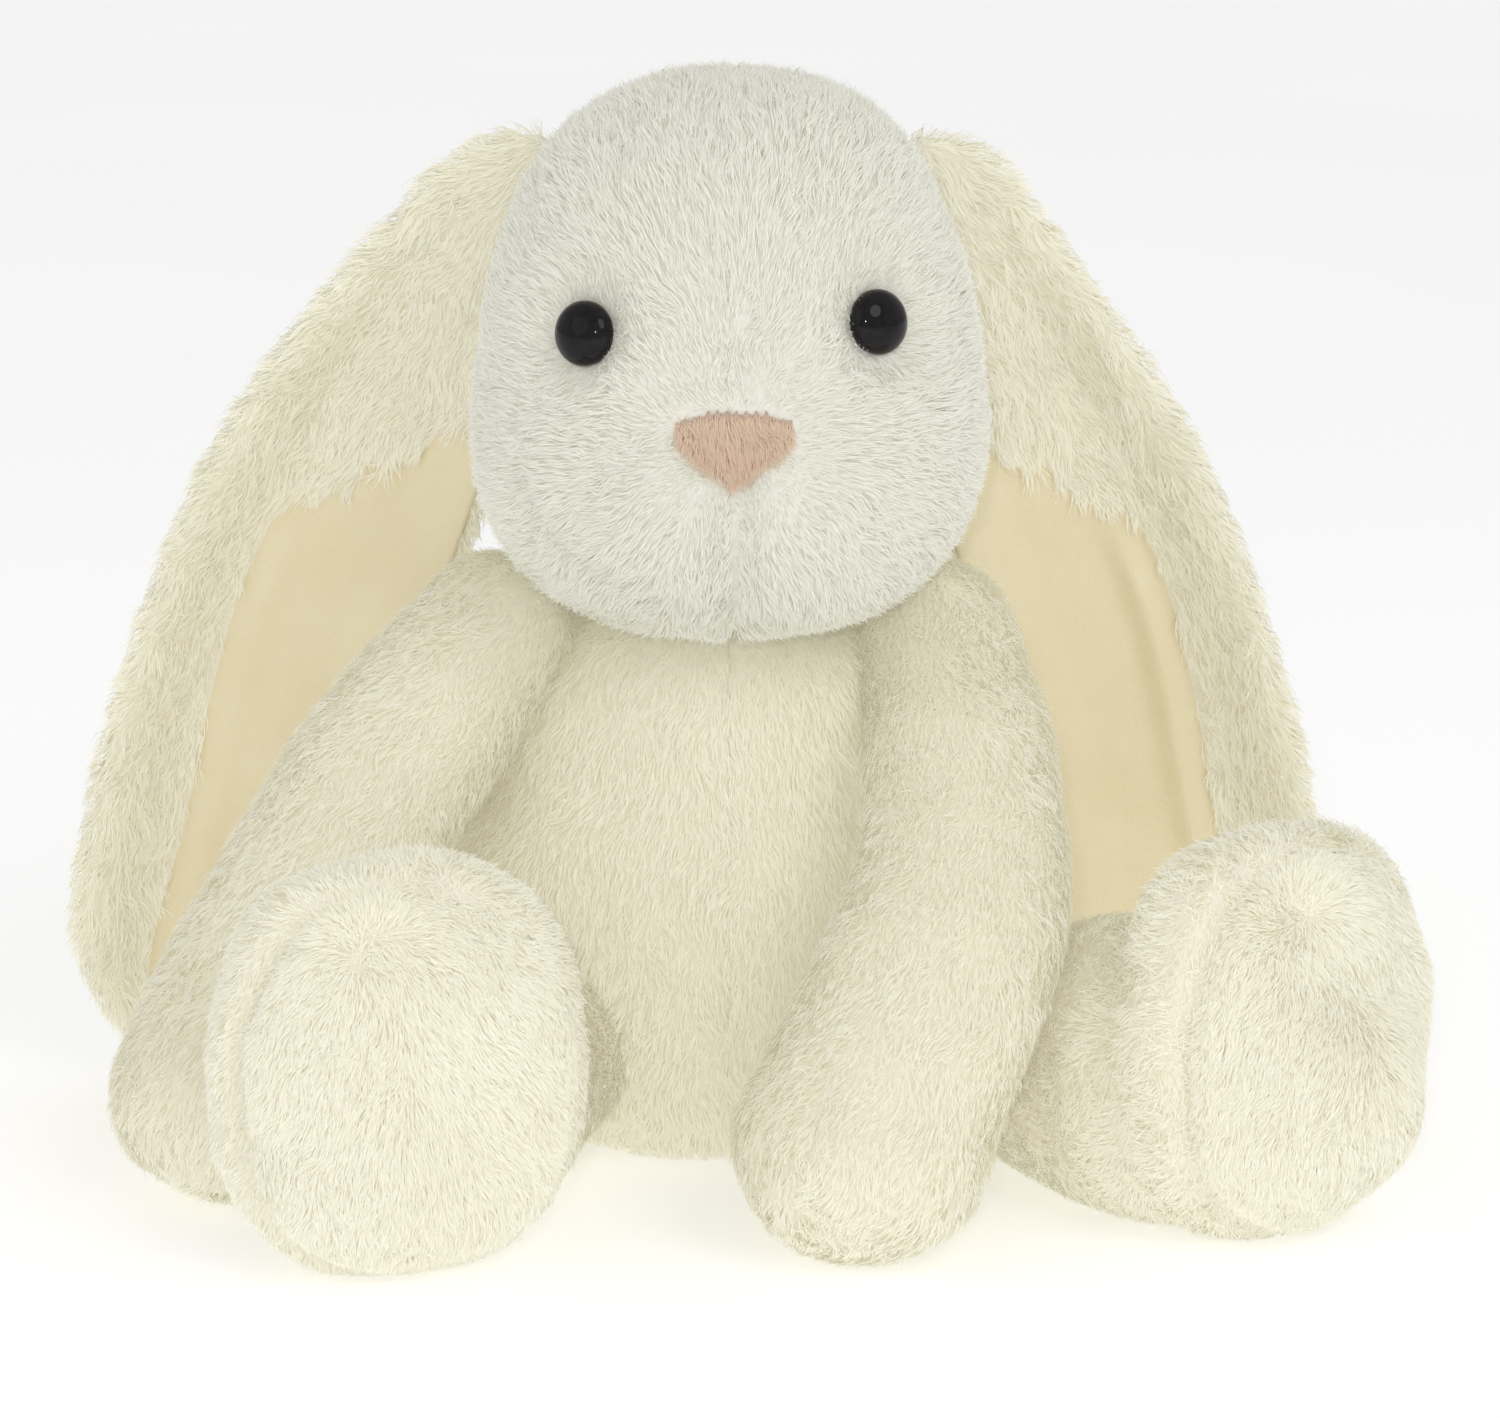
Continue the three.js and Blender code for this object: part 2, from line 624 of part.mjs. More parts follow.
addPiece("torso_stuffing", ahead(torsoFill, stuffingLevel, Z_AXIS), FILL);
addPiece("seat_pellet_bag", behind(torsoFill, seatLevel, Z_AXIS), PELLET_BAG);

// ---- Frame --------------------------------------------------------------------------------

// The origin is at the middle of the floor under the whole toy.
const bounds = new THREE.Box3().setFromObject(bunny);
const middle = bounds.getCenter(new THREE.Vector3());
bunny.position.set(-middle.x, -middle.y, -bounds.min.z);
bunny.updateMatrixWorld(true);

export default bunny;
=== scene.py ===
"""A seated plush rabbit: soft skins with combed pile, lined lop ears, glossy eyes and a short-pile nose.

Shapes are made in millimetres from the middle of the torso on the floor. The face looks along -Y.
"""
import math

import bmesh
import bpy
import numpy as np
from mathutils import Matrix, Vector


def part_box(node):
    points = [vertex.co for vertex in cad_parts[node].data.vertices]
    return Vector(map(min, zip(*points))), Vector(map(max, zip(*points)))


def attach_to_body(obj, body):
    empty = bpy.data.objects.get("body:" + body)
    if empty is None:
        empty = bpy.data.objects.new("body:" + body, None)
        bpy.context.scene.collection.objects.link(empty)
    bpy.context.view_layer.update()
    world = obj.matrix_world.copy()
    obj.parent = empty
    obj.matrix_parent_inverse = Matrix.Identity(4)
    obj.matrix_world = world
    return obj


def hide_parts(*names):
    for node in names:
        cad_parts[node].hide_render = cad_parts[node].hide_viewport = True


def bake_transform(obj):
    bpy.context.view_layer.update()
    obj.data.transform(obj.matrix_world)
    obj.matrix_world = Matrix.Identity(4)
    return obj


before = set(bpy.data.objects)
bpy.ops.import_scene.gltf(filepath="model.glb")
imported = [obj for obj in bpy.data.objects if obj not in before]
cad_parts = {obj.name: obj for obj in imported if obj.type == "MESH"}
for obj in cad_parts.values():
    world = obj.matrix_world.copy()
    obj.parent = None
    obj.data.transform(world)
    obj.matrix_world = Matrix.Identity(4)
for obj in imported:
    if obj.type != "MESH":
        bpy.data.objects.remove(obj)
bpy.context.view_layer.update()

MM = 0.001

# ---- Sizes ----

INSET = 3.0  # from the pressed pile down to the backing cloth
TORSO = dict(middle=(0, 0, 60), half=(68, 48, 68), roundness=3.0, swell=0.24)
HEAD = dict(middle=(0, -20, 196), half=(61, 56, 68), roundness=2.5, swell=0.14)
FOOT = dict(half=(45, 27, 52), height=47, cornering=2.35)
SOLE_SEAM = 11.0  # from the foot's middle towards its sole
EYES = dict(right=(-34.5, 12), left=(36, 14.5))
EYE = dict(radius=7.6, dome=5.6, rim=0.8, sunk=3.4)
NOSE = dict(x=1.5, top=-4.8, tip=-21.5, half=13.6)
NOSE_MIDDLE = -11  # up from the head's middle
LEGS = dict(
    right=dict(hip_bearing=36, heading=25, reach=75, sole_bearing=-12),
    left=dict(hip_bearing=55, heading=51, reach=84.5, sole_bearing=40),
)
HIP = dict(
    stand_off=6, height=28, radius=22,
    ankle_radius=dict(right=30, left=38), calf_forward=dict(right=0, left=10),
)
FOOT_MUSS = dict(right=0.17, left=0.4)  # how unruly the pile on the foot's sides is
SIDES = dict(right=-1, left=1)
UP, DOWN = (0, 0, 1), (0, 0, -1)
FLOOR_GAP = 0.8  # the pile pressed flat under what rests on the floor
FILLING_DEPTH = 3.5  # from the backing cloth in to the stuffing
BAG_GAP = 0.5  # between a pellet bag and the stuffing
SEAT_BAG_TOP = 27.0
FOOT_BAG_TOP = 24.0
WAVE_COUNT = 14  # the waves that are added up into smooth noise
ARM_BEND = (-0.15, 0.7)  # where the bend handed to attach starts and ends, on the way from the shoulder; attach makes no bend from it
LEG_BEND = (-0.1, 0.4)  # the same from the hip to the foot
CUT_REACH = 1e-4  # how near to a cutting plane a corner counts as on it
ARM_BALLS, LEG_BALLS = 26, 12  # the balls that make up a limb
WRIST = 29  # the step along an arm, out of 40, where its pellet bag starts
LIMB_VOXEL = 2.6  # the grid that a limb's skin is wrapped on

# A limb's stops: across, along, up, half width and half thickness.
ARMS = dict(
    right=[(-57, -6, 124, 24, 23), (-85, -28, 92, 27, 23), (-104, -45, 56, 30, 25), (-119, -63, 25, 31, 28)],
    left=[(49, -9, 123, 23, 23), (56, -57, 92, 26, 22), (48, -85, 61, 31, 26), (30, -106, 26, 33, 28)],
)
EAR = dict(
    root=(42, -2, 242), tip_height=dict(right=4, left=12),
    widest=33, root_radius=18, widest_at=0.5, tip_at=0.84,
)
EAR_LINE = dict(
    right=[(37, 26, 0.24), (66, 34, 0.49), (85, 38, 0.735), (94, 36, 1)],
    left=[(32, 26, 0.24), (61, 34, 0.49), (82, 38, 0.735), (94, 36, 1)],
)
EAR_HANG = dict(right=0, left=4)
TAIL = dict(middle=(0, 53, 34), radius=18)

# ---- Frame ----


def middle_of_torso():
    """The point on the floor that every shape is measured from, in metres."""
    left_low, left_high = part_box("torso_panel_left")
    _, right_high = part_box("torso_panel_right")
    return np.array([(left_low.x + right_high.x) / 2, (left_low.y + left_high.y) / 2, 0])


MIDDLE = middle_of_torso()


def to_frame(points):
    return np.asarray(points) * MM + MIDDLE


def unit(ways):
    return ways / np.maximum(np.linalg.norm(ways, axis=-1, keepdims=True), 1e-9)


def smooth(share):
    share = np.clip(share, 0, 1)
    return share * share * (3 - 2 * share)


class Waves:
    """Smooth noise over space, mostly between -2 and 2."""

    def __init__(self, seed, length):
        count = WAVE_COUNT
        draw = np.random.default_rng(seed)
        lengths = length * draw.uniform(0.7, 1.6, count)
        self.rates = unit(draw.normal(size=(count, 3))) * (2 * np.pi / lengths)[:, None]
        self.phases = draw.uniform(0, 2 * np.pi, count)
        self.gain = math.sqrt(2 / count)

    def __call__(self, points):
        return np.sin(points @ self.rates.T + self.phases).sum(1) * self.gain


def wave_ways(seed, length, points):
    """A smoothly varying random vector for each point."""
    return np.stack([Waves(seed + k, length)(points) for k in range(3)], axis=1)


# ---- Materials ----


class Signal:
    """A number that varies over a surface. An expression on signals adds its Math nodes."""

    def __init__(self, finish, socket):
        self.finish = finish
        self.socket = socket

    def math(self, operation, *values):
        made = self.finish.node("ShaderNodeMath", dict(operation=operation), dict(enumerate(values)))
        return Signal(self.finish, made.outputs[0])

    def __add__(self, other):
        return self.math("ADD", self, other)

    def __rsub__(self, other):
        return self.math("SUBTRACT", other, self)

    def __mul__(self, other):
        return self.math("MULTIPLY", self, other)


def sheen(weight, roughness):
    return {"Sheen Weight": weight, "Sheen Roughness": roughness}


def glow(strength):
    return {"Emission Strength": strength}


class Finish:
    """A material in the making."""

    def __init__(self, name, **shader):
        self.material = bpy.data.materials.new(name)
        self.material.use_nodes = True
        self.tree = self.material.node_tree
        self.tree.nodes.clear()
        self.output = self.node("ShaderNodeOutputMaterial")
        self.shader = self.node("ShaderNodeBsdfPrincipled", {}, shader)
        self.link(self.shader.outputs[0], self.output.inputs["Surface"])

    def link(self, source, target):
        self.tree.links.new(source.socket if isinstance(source, Signal) else source, target)

    def node(self, kind, settings=None, values=None):
        """Any node: its settings first, then the values or links of its sockets."""
        made = self.tree.nodes.new(kind)
        for name, value in (settings or {}).items():
            if name == "stops":
                self.set_stops(made.color_ramp, value)
            else:
                setattr(made, name, value)
        for name, value in (values or {}).items():
            if isinstance(value, (Signal, bpy.types.NodeSocket)):
                self.link(value, made.inputs[name])
            else:
                made.inputs[name].default_value = value
        return made

    @staticmethod
    def set_stops(ramp, stops):
        while len(ramp.elements) < len(stops):
            ramp.elements.new(1)
        for element, (place, color) in zip(ramp.elements, stops):
            element.position = place
            element.color = (*color, 1)

    def coordinates(self):
        return self.node("ShaderNodeTexCoord").outputs["Object"]

    def noise(self, scale, detail, roughness=0.55):
        values = dict(Vector=self.coordinates(), Scale=scale, Detail=detail, Roughness=roughness)
        return Signal(self, self.node("ShaderNodeTexNoise", {}, values).outputs[0])

    def ramp(self, signal, stops):
        return self.node("ShaderNodeValToRGB", dict(stops=stops), dict(Fac=signal)).outputs[0]

    def mixed(self, share, first, second):
        colors = {0: share, 6: first, 7: second}
        return self.node("ShaderNodeMix", dict(data_type="RGBA"), colors).outputs[2]

    def color(self, socket):
        self.link(socket, self.shader.inputs["Base Color"])

    def bump(self, height, strength, distance):
        values = dict(Height=height, Strength=strength, Distance=distance)
        made = self.node("ShaderNodeBump", {}, values)
        self.link(made.outputs[0], self.shader.inputs["Normal"])


PILE_MAP = "OFBake"  # across it is the hair's tint, and up it is the way from root to tip


def pile_finish(name, root, tip, dull, strength):
    """Soft hairs with a tint that varies from hair to hair, paler towards their tips: their darker roots are
    painted shade deep in the pile.

    Their faint glow stands for the light that dense pale pile scatters within itself.
    """
    made = Finish(name, Roughness=0.9, **sheen(0.25, 0.5), **glow(strength))
    place = made.node("ShaderNodeUVMap", dict(uv_map=PILE_MAP)).outputs[0]
    parts = made.node("ShaderNodeSeparateXYZ", {}, dict(Vector=place)).outputs
    # Painted shade: each hair's colour darkens towards its root, as if shaded deep in the pile.
    along = made.ramp(Signal(made, parts[1]), [(0.0, root), (0.55, tip), (1.0, tip)])
    tint = Signal(made, parts[0]) * 0.5
    color = made.mixed(tint, along, (*dull, 1))
    made.color(color)
    made.link(color, made.shader.inputs["Emission Color"])
    return made.material


def backing_finish(name, color, shade):
    """The woven cloth that the pile grows on, with a faint painted glow that lightens the gaps between the
    hairs.
    """
    # Painted light: a faint glow in the cloth's own colour brightens the shaded gaps between the hairs above
    # it.
    made = Finish(name, Roughness=0.95, **sheen(0.2, 0.5), **glow(0.07))
    weave = made.noise(900, 4)
    tone = made.ramp(weave, [(0.3, shade), (0.7, color)])
    made.color(tone)
    made.link(tone, made.shader.inputs["Emission Color"])
    made.bump(weave, 0.4, 0.0006)
    return made.material


def lining_finish():
    """Smooth cloth with a very short nap."""
    made = Finish("ear_lining_cloth", Roughness=0.8, **sheen(0.25, 0.4))
    nap = made.noise(1300, 4, 0.6)
    patches = made.noise(45, 3, 0.5)
    tone = nap * 0.35 + patches * 0.65
    made.color(made.ramp(tone, [(0.3, (0.87, 0.77, 0.52)), (0.7, (0.92, 0.83, 0.60))]))
    made.bump(nap + patches * 0.5, 0.35, 0.0005)
    return made.material


def eye_finish():
    made = Finish("eye_gloss", Roughness=0.03, **{"Specular IOR Level": 0.22})
    depth = made.noise(400, 2)
    made.color(made.ramp(depth, [(0.3, (0.004, 0.003, 0.004)), (0.8, (0.012, 0.010, 0.011))]))
    return made.material


def fill_finish():
    made = Finish("fibre_fill", Roughness=1.0, **{"Sheen Weight": 0.3})
    tufts = made.noise(240, 5, 0.65)
    made.color(made.ramp(tufts, [(0.3, (0.72, 0.71, 0.68)), (0.7, (0.92, 0.92, 0.90))]))
    made.bump(tufts, 0.8, 0.002)
    return made.material


def bag_finish():
    made = Finish("pellet_bag_cloth", Roughness=0.9)
    cells = made.node("ShaderNodeTexVoronoi", {}, dict(Vector=made.coordinates(), Scale=330))
    lumps = Signal(made, cells.outputs[0])
    # Painted shade: the cloth darkens towards each cell's edge, in the hollows between the pellet lumps.
    made.color(made.ramp(lumps, [(0.0, (0.80, 0.79, 0.74)), (1.0, (0.66, 0.65, 0.60))]))
    made.bump(1 - lumps, 0.6, 0.001)
    return made.material


def washer_finish():
    made = Finish("washer_plastic", Roughness=0.45)
    grain = made.noise(500, 2)
    made.color(made.ramp(grain, [(0.2, (0.80, 0.80, 0.78)), (0.8, (0.88, 0.88, 0.86))]))
    return made.material


def thread_finish():
    made = Finish("seam_thread", Roughness=0.8)
    twist = made.noise(1500, 2)
    made.color(made.ramp(twist, [(0.2, (0.62, 0.57, 0.44)), (0.8, (0.80, 0.76, 0.62))]))
    made.bump(twist, 0.5, 0.0004)
    return made.material


# Each pile's first colour is its hairs' root colour, darkened as painted shade deep in the pile.
FACE_PILE = pile_finish("face_pile", (0.87, 0.85, 0.74), (0.90, 0.895, 0.81), (0.885, 0.87, 0.775), 0.06)
BODY_PILE = pile_finish("body_pile", (0.94, 0.90, 0.73), (0.955, 0.935, 0.81), (0.945, 0.915, 0.76), 0.09)
NOSE_PILE = pile_finish("nose_pile", (0.62, 0.47, 0.34), (0.76, 0.60, 0.455), (0.69, 0.53, 0.39), 0.09)
FACE_CLOTH = backing_finish("face_backing", (0.87, 0.865, 0.80), (0.82, 0.81, 0.74))
BODY_CLOTH = backing_finish("body_backing", (0.90, 0.87, 0.74), (0.84, 0.80, 0.66))
NOSE_CLOTH = backing_finish("nose_backing", (0.64, 0.48, 0.38), (0.56, 0.41, 0.32))
LINING = lining_finish()
EYE_GLOSS = eye_finish()
FILL = fill_finish()
BAG = bag_finish()
WASHER = washer_finish()
THREAD = thread_finish()

# ---- Soft forms ----


def read_points(mesh):
    return np.array([v.co for v in mesh.verts], float).reshape(-1, 3)


def write_points(mesh, points):
    for vertex, point in zip(mesh.verts, points):
        vertex.co = point


def new_object(name, mesh, material):
    """A piece from a mesh in millimetres. Its object stays at the origin."""
    data = bpy.data.meshes.new(name)
    mesh.to_mesh(data)
    points = np.zeros(len(data.vertices) * 3)
    data.vertices.foreach_get("co", points)
    data.vertices.foreach_set("co", to_frame(points.reshape(-1, 3)).ravel())
    data.polygons.foreach_set("use_smooth", [True] * len(data.polygons))
    data.update()
    data.materials.append(material)
    made = bpy.data.objects.new(name, data)
    bpy.context.scene.collection.objects.link(made)
    return made


def sphere(fineness=6):
    mesh = bmesh.new()
    bmesh.ops.create_icosphere(mesh, subdivisions=fineness, radius=1)
    return mesh


def upright(mesh, middle, half, roundness, swell):
    """Turns a unit sphere into an upright padded form that is flat where it meets the floor."""
    points = read_points(mesh)
    level = np.clip(points[:, 2], -1, 1)
    ring = np.sqrt(np.maximum(1 - level**2, 1e-12))
    spread = (1 - np.abs(level) ** roundness) ** (1 / roundness) * (1 - swell * level)
    grown = np.array(half) - INSET
    out = np.empty_like(points)
    out[:, 0] = middle[0] + grown[0] * spread * points[:, 0] / ring
    out[:, 1] = middle[1] + grown[1] * spread * points[:, 1] / ring
    out[:, 2] = np.maximum(middle[2] + grown[2] * level, max(middle[2] - half[2], 0) + FLOOR_GAP)
    write_points(mesh, out)


def vertex_ways(mesh):
    mesh.normal_update()
    return np.array([v.normal for v in mesh.verts], float).reshape(-1, 3)


def push(mesh, place, radius, depth):
    """Swells the form near a place, or dents it where the depth is negative."""
    points = read_points(mesh)
    near = smooth(1 - np.linalg.norm(points - np.array(place, float), axis=1) / radius)
    write_points(mesh, points + vertex_ways(mesh) * (depth * near)[:, None])


def along_route(points, route):
    """How far each point is from a route of straight steps."""
    nearest = np.full(len(points), np.inf)
    for start, end in zip(route[:-1], route[1:]):
        start, way = np.array(start, float), np.array(end, float) - np.array(start, float)
        share = np.clip((points - start) @ way / (way @ way), 0, 1)
        nearest = np.minimum(nearest, np.linalg.norm(points - start - share[:, None] * way, axis=1))
    return nearest


def crease(mesh, route, width, depth):
    """Presses a seam's furrow into the form along a route."""
    points = read_points(mesh)
    near = smooth(1 - along_route(points, route) / width)
    write_points(mesh, points - vertex_ways(mesh) * (depth * near)[:, None])


def ripple(mesh, seed, length, depth):
    """Small uneven swells, as loose stuffing gives."""
    points = read_points(mesh)
    write_points(mesh, points + vertex_ways(mesh) * (depth * Waves(seed, length)(points))[:, None])


def soften(mesh):
    every_way = dict(use_axis_x=True, use_axis_y=True, use_axis_z=True)
    bmesh.ops.smooth_vert(mesh, verts=mesh.verts, factor=0.5, **every_way)


def remeshed(mesh, passes):
    """One even closed skin around everything in the mesh."""
    data = bpy.data.meshes.new("work")
    mesh.to_mesh(data)
    mesh.free()
    work = bpy.data.objects.new("work", data)
    bpy.context.scene.collection.objects.link(work)
    wrap = work.modifiers.new("wrap", "REMESH")
    wrap.mode = "VOXEL"
    wrap.voxel_size = LIMB_VOXEL
    shown = work.evaluated_get(bpy.context.evaluated_depsgraph_get())
    made = bmesh.new()
    made.from_mesh(shown.to_mesh())
    bpy.data.objects.remove(work)
    bpy.data.meshes.remove(data)
    for _ in range(passes):
        soften(made)
    return made


def curve_through(stops, count):
    """Points and values along a smooth curve through the stops."""
    stops = np.array(stops, float)
    padded = np.vstack([2 * stops[0] - stops[1], stops, 2 * stops[-1] - stops[-2]])
    places = np.linspace(0, len(stops) - 1, count)
    out = []
    for place in places:
        index = min(int(place), len(stops) - 2)
        t = place - index
        a, b, c, d = padded[index : index + 4]
        bend, twist = 2 * a - 5 * b + 4 * c - d, 3 * b - a - 3 * c + d
        out.append(0.5 * (2 * b + (c - a) * t + bend * t**2 + twist * t**3))
    return np.array(out)


def limb(stops, balls):
    """A soft limb: a row of oval balls wrapped in one skin."""
    mesh = bmesh.new()
    row = curve_through(stops, balls)
    ways = unit(np.gradient(row[:, :3], axis=0))
    for (x, y, z, wide, thick), way in zip(row, ways):
        side = unit(np.cross([0, 0, 1], way))
        over = np.cross(side, way)
        before = len(mesh.verts)
        bmesh.ops.create_icosphere(mesh, subdivisions=3, radius=1)
        mesh.verts.ensure_lookup_table()
        for vertex in mesh.verts[before:]:
            a, b, c = vertex.co
            point = np.array([x, y, z]) + side * a * (wide - INSET) + over * b * (thick - INSET)
            vertex.co = point + way * c * (min(wide, thick) - INSET)
    return mesh


def flatten(mesh, height):
    """Rests the form on the floor."""
    points = read_points(mesh)
    points[:, 2] = np.maximum(points[:, 2], height)
    write_points(mesh, points)


def turned(points, degrees):
    c, s = math.cos(math.radians(degrees)), math.sin(math.radians(degrees))
    points = np.asarray(points, float)
    out = points.copy()
    out[..., 0] = points[..., 0] * c - points[..., 1] * s
    out[..., 1] = points[..., 0] * s + points[..., 1] * c
    return out


def way_at(sign, bearing):
    return np.array([sign * math.sin(math.radians(bearing)), -math.cos(math.radians(bearing)), 0])


def leg_places(side):
    """Where a leg's hip and foot are, and the way that its sole faces."""
    sign, leg = SIDES[side], LEGS[side]
    oval = np.array([TORSO["half"][0] + HIP["stand_off"], TORSO["half"][1] + HIP["stand_off"], 0])
    hip = way_at(sign, leg["hip_bearing"]) * oval
    foot = hip + way_at(sign, leg["heading"]) * leg["reach"]
    hip[2] = HIP["height"]
    foot[2] = FOOT["height"]
    return hip, foot, way_at(sign, leg["sole_bearing"]), sign * leg["sole_bearing"]


def add_foot(mesh, middle, turn):
    before = len(mesh.verts)
    bmesh.ops.create_icosphere(mesh, subdivisions=5, radius=1)
    mesh.verts.ensure_lookup_table()
    half = np.array(FOOT["half"]) - INSET
    fresh = mesh.verts[before:]
    points = np.array([v.co for v in fresh], float)
    soft = 2 / FOOT["cornering"]
    points = np.sign(points) * np.abs(points) ** soft * half
    for vertex, point in zip(fresh, turned(points, turn) + middle):
        vertex.co = point


# ---- Pile ----

PILE_LENGTH = dict(nose=4.4, torso=5.6, tail=10.0, arm=5.4, leg=5.2, ear=7.0)
SEEDS = dict(head=31, nose=41, torso=51, tail=61, arm=71, leg=81, ear=91)
# The body's pile: how steeply it rises, how unruly it is, a hair's width, and the tufts' size and pull.
PLUSH = dict(rise=0.3, wild=0.16, width=0.34, clump=4, pull=0.25)
HAIR_POINTS = 5
HAIR_CORNERS = (0, 1, 2, 3, 3, 2, 4)  # a hair's two faces, the second from the fifth corner on
SECOND_FACE = 4
LOWER_RISE, UPPER_RISE = 1.9, 0.5  # a hair's lower half stands up more than its upper half
STRAYS = 0.15  # the share of hairs that stand up twice as far
MIDDLE_WIDTH = 0.8  # at a hair's middle, as a share of its root's width
ROOT_DEPTH = 0.5  # how far below the skin a hair starts
LOWEST_HAIR = 0.3
TINT_REACH = 0.004
FACE_SHARE = 0.6  # how far a hair's shading leans from the skin's way to its own face's


def skin_samples(mesh, count, draw, weigh=None):
    """Random places on a skin, with the outward way at each."""
    data = bpy.data.meshes.new("work")
    mesh.to_mesh(data)
    data.calc_loop_triangles()
    points = read_points(mesh)
    ways = vertex_ways(mesh)
    corners = np.zeros(len(data.loop_triangles) * 3, int)
    data.loop_triangles.foreach_get("vertices", corners)
    corners = corners.reshape(-1, 3)
    bpy.data.meshes.remove(data)
    a, b, c = points[corners[:, 0]], points[corners[:, 1]], points[corners[:, 2]]
    area = np.linalg.norm(np.cross(b - a, c - a), axis=1) / 2
    if weigh is not None:
        area = area * weigh((a + b + c) / 3)
    steps = np.cumsum(area)
    chosen = np.minimum(np.searchsorted(steps, draw.random(count) * steps[-1]), len(area) - 1)
    u, v = draw.random((2, count))
    over = u + v > 1
    u[over], v[over] = 1 - u[over], 1 - v[over]
    shares = [share[:, None] for share in (1 - u - v, u, v)]
    corner = corners[chosen].T
    places, outward = (
        shares[0] * values[corner[0]] + shares[1] * values[corner[1]] + shares[2] * values[corner[2]]
        for values in (points, ways)
    )
    return places, unit(outward)


def clumped(points, tips, size, pull, draw):
    """Draws the tips of neighbouring hairs together."""
    cells = np.floor(points / size + wave_ways(11, size * 4, points) * 0.15).astype(int)
    _, which = np.unique(cells, axis=0, return_inverse=True)
    which = which.ravel()
    number = np.bincount(which)
    centre = np.stack([np.bincount(which, tips[:, k]) / number for k in range(3)], axis=1)
    strength = pull * draw.uniform(0.3, 1.0, len(number))[which]
    return tips + (centre[which] - tips) * strength[:, None]


def grow(name, mesh, material, count, comb, length, seed, rise, wild, width, clump, pull,
         weigh=None, keep=None):
    """A piece of pile: curved tapering hairs that stand on a skin and lie along a combed way."""
    draw = np.random.default_rng(seed)
    roots, ways = skin_samples(mesh, count, draw, weigh)
    if keep is not None:
        kept = keep(roots)
        roots, ways = roots[kept], ways[kept]
    count = len(roots)
    lay = unit(comb(roots)) + wave_ways(seed, 16, roots) * wild + wave_ways(seed + 30, 5, roots) * wild * 1.2
    lay = lay + draw.normal(size=(count, 3)) * wild * 1.3
    lay = unit(lay - ways * (lay * ways).sum(1, keepdims=True))
    lengths = length(roots) if callable(length) else np.full(count, float(length))
    lengths = lengths * draw.uniform(0.8, 1.15, count) * (1 + 0.08 * Waves(seed + 5, 22)(roots))
    lift = rise * draw.uniform(0.75, 1.25, count) * np.where(draw.random(count) < STRAYS, 2.0, 1.0)
    first = unit(lay + ways * (lift * LOWER_RISE)[:, None])
    second = unit(lay + ways * (lift * UPPER_RISE)[:, None])
    middles = roots + first * (lengths * 0.5)[:, None]
    tips = clumped(roots, middles + second * (lengths * 0.5)[:, None], clump, pull, draw)
    roots = roots - ways * ROOT_DEPTH
    roll = draw.uniform(-0.8, 0.8, count)[:, None]
    side = unit(np.cross(first, ways))
    side = side * np.cos(roll) + np.cross(first, side) * np.sin(roll)
    half = (width * draw.uniform(0.7, 1.2, count) / 2)[:, None]
    middle = side * half * MIDDLE_WIDTH
    points = [roots - side * half, roots + side * half, middles + middle, middles - middle, tips]
    points = np.stack(points, axis=1).reshape(-1, 3)
    points[:, 2] = np.maximum(points[:, 2], LOWEST_HAIR)
    tint = np.clip(draw.beta(2, 3, count) + 0.12 * Waves(seed + 9, 40)(roots), 0.01, 0.99)
    return hair_object(name, points, np.repeat(ways, HAIR_POINTS, axis=0), tint, material)


def hair_object(name, points, ways, tint, material):
    """Five points to a hair: two at the root, two at its middle and one at its tip."""
    count, corners = len(tint), len(HAIR_CORNERS)
    number = np.arange(count)[:, None]
    loops = (number * HAIR_POINTS + np.array(HAIR_CORNERS)).ravel()
    data = bpy.data.meshes.new(name)
    data.vertices.add(count * HAIR_POINTS)
    data.vertices.foreach_set("co", to_frame(points).astype(np.float32).ravel())
    data.loops.add(count * corners)
    data.loops.foreach_set("vertex_index", loops.astype(np.int32))
    data.polygons.add(count * 2)
    starts = (number * corners + np.array([0, SECOND_FACE])).ravel()
    data.polygons.foreach_set("loop_start", starts.astype(np.int32))
    data.polygons.foreach_set("use_smooth", np.ones(count * 2, bool))
    data.update(calc_edges=True)
    pile_map = data.uv_layers.new(name=PILE_MAP)
    reach = TINT_REACH
    across = tint[:, None] * (1 - 2 * reach) + reach + reach * np.array([-1, 1, 1, -1, -1, 1, 0])
    up = np.tile(np.array([0.02, 0.02, 0.5, 0.5, 0.5, 0.5, 0.98]), (count, 1))
    pile_map.data.foreach_set("uv", np.stack([across, up], axis=2).astype(np.float32).ravel())
    hairs = points.reshape(-1, HAIR_POINTS, 3)
    faces = np.cross(hairs[:, 1] - hairs[:, 0], hairs[:, 2] - hairs[:, 0])
    soft = unit(ways + np.repeat(unit(faces), HAIR_POINTS, axis=0) * FACE_SHARE)
    data.normals_split_custom_set_from_vertices(soft.astype(np.float32))
    data.materials.append(material)
    made = bpy.data.objects.new(name, data)
    bpy.context.scene.collection.objects.link(made)
    return made


def attach(piece, bodies, replaced=()):
    """Hangs a piece on one body. Given two bodies and a bend (body, body, start, end), it only bakes the
    piece's place into its mesh.
    """
    if isinstance(bodies, str):
        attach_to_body(piece, bodies)
    else:
        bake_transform(piece)
    if replaced:
        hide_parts(*replaced)
    return piece


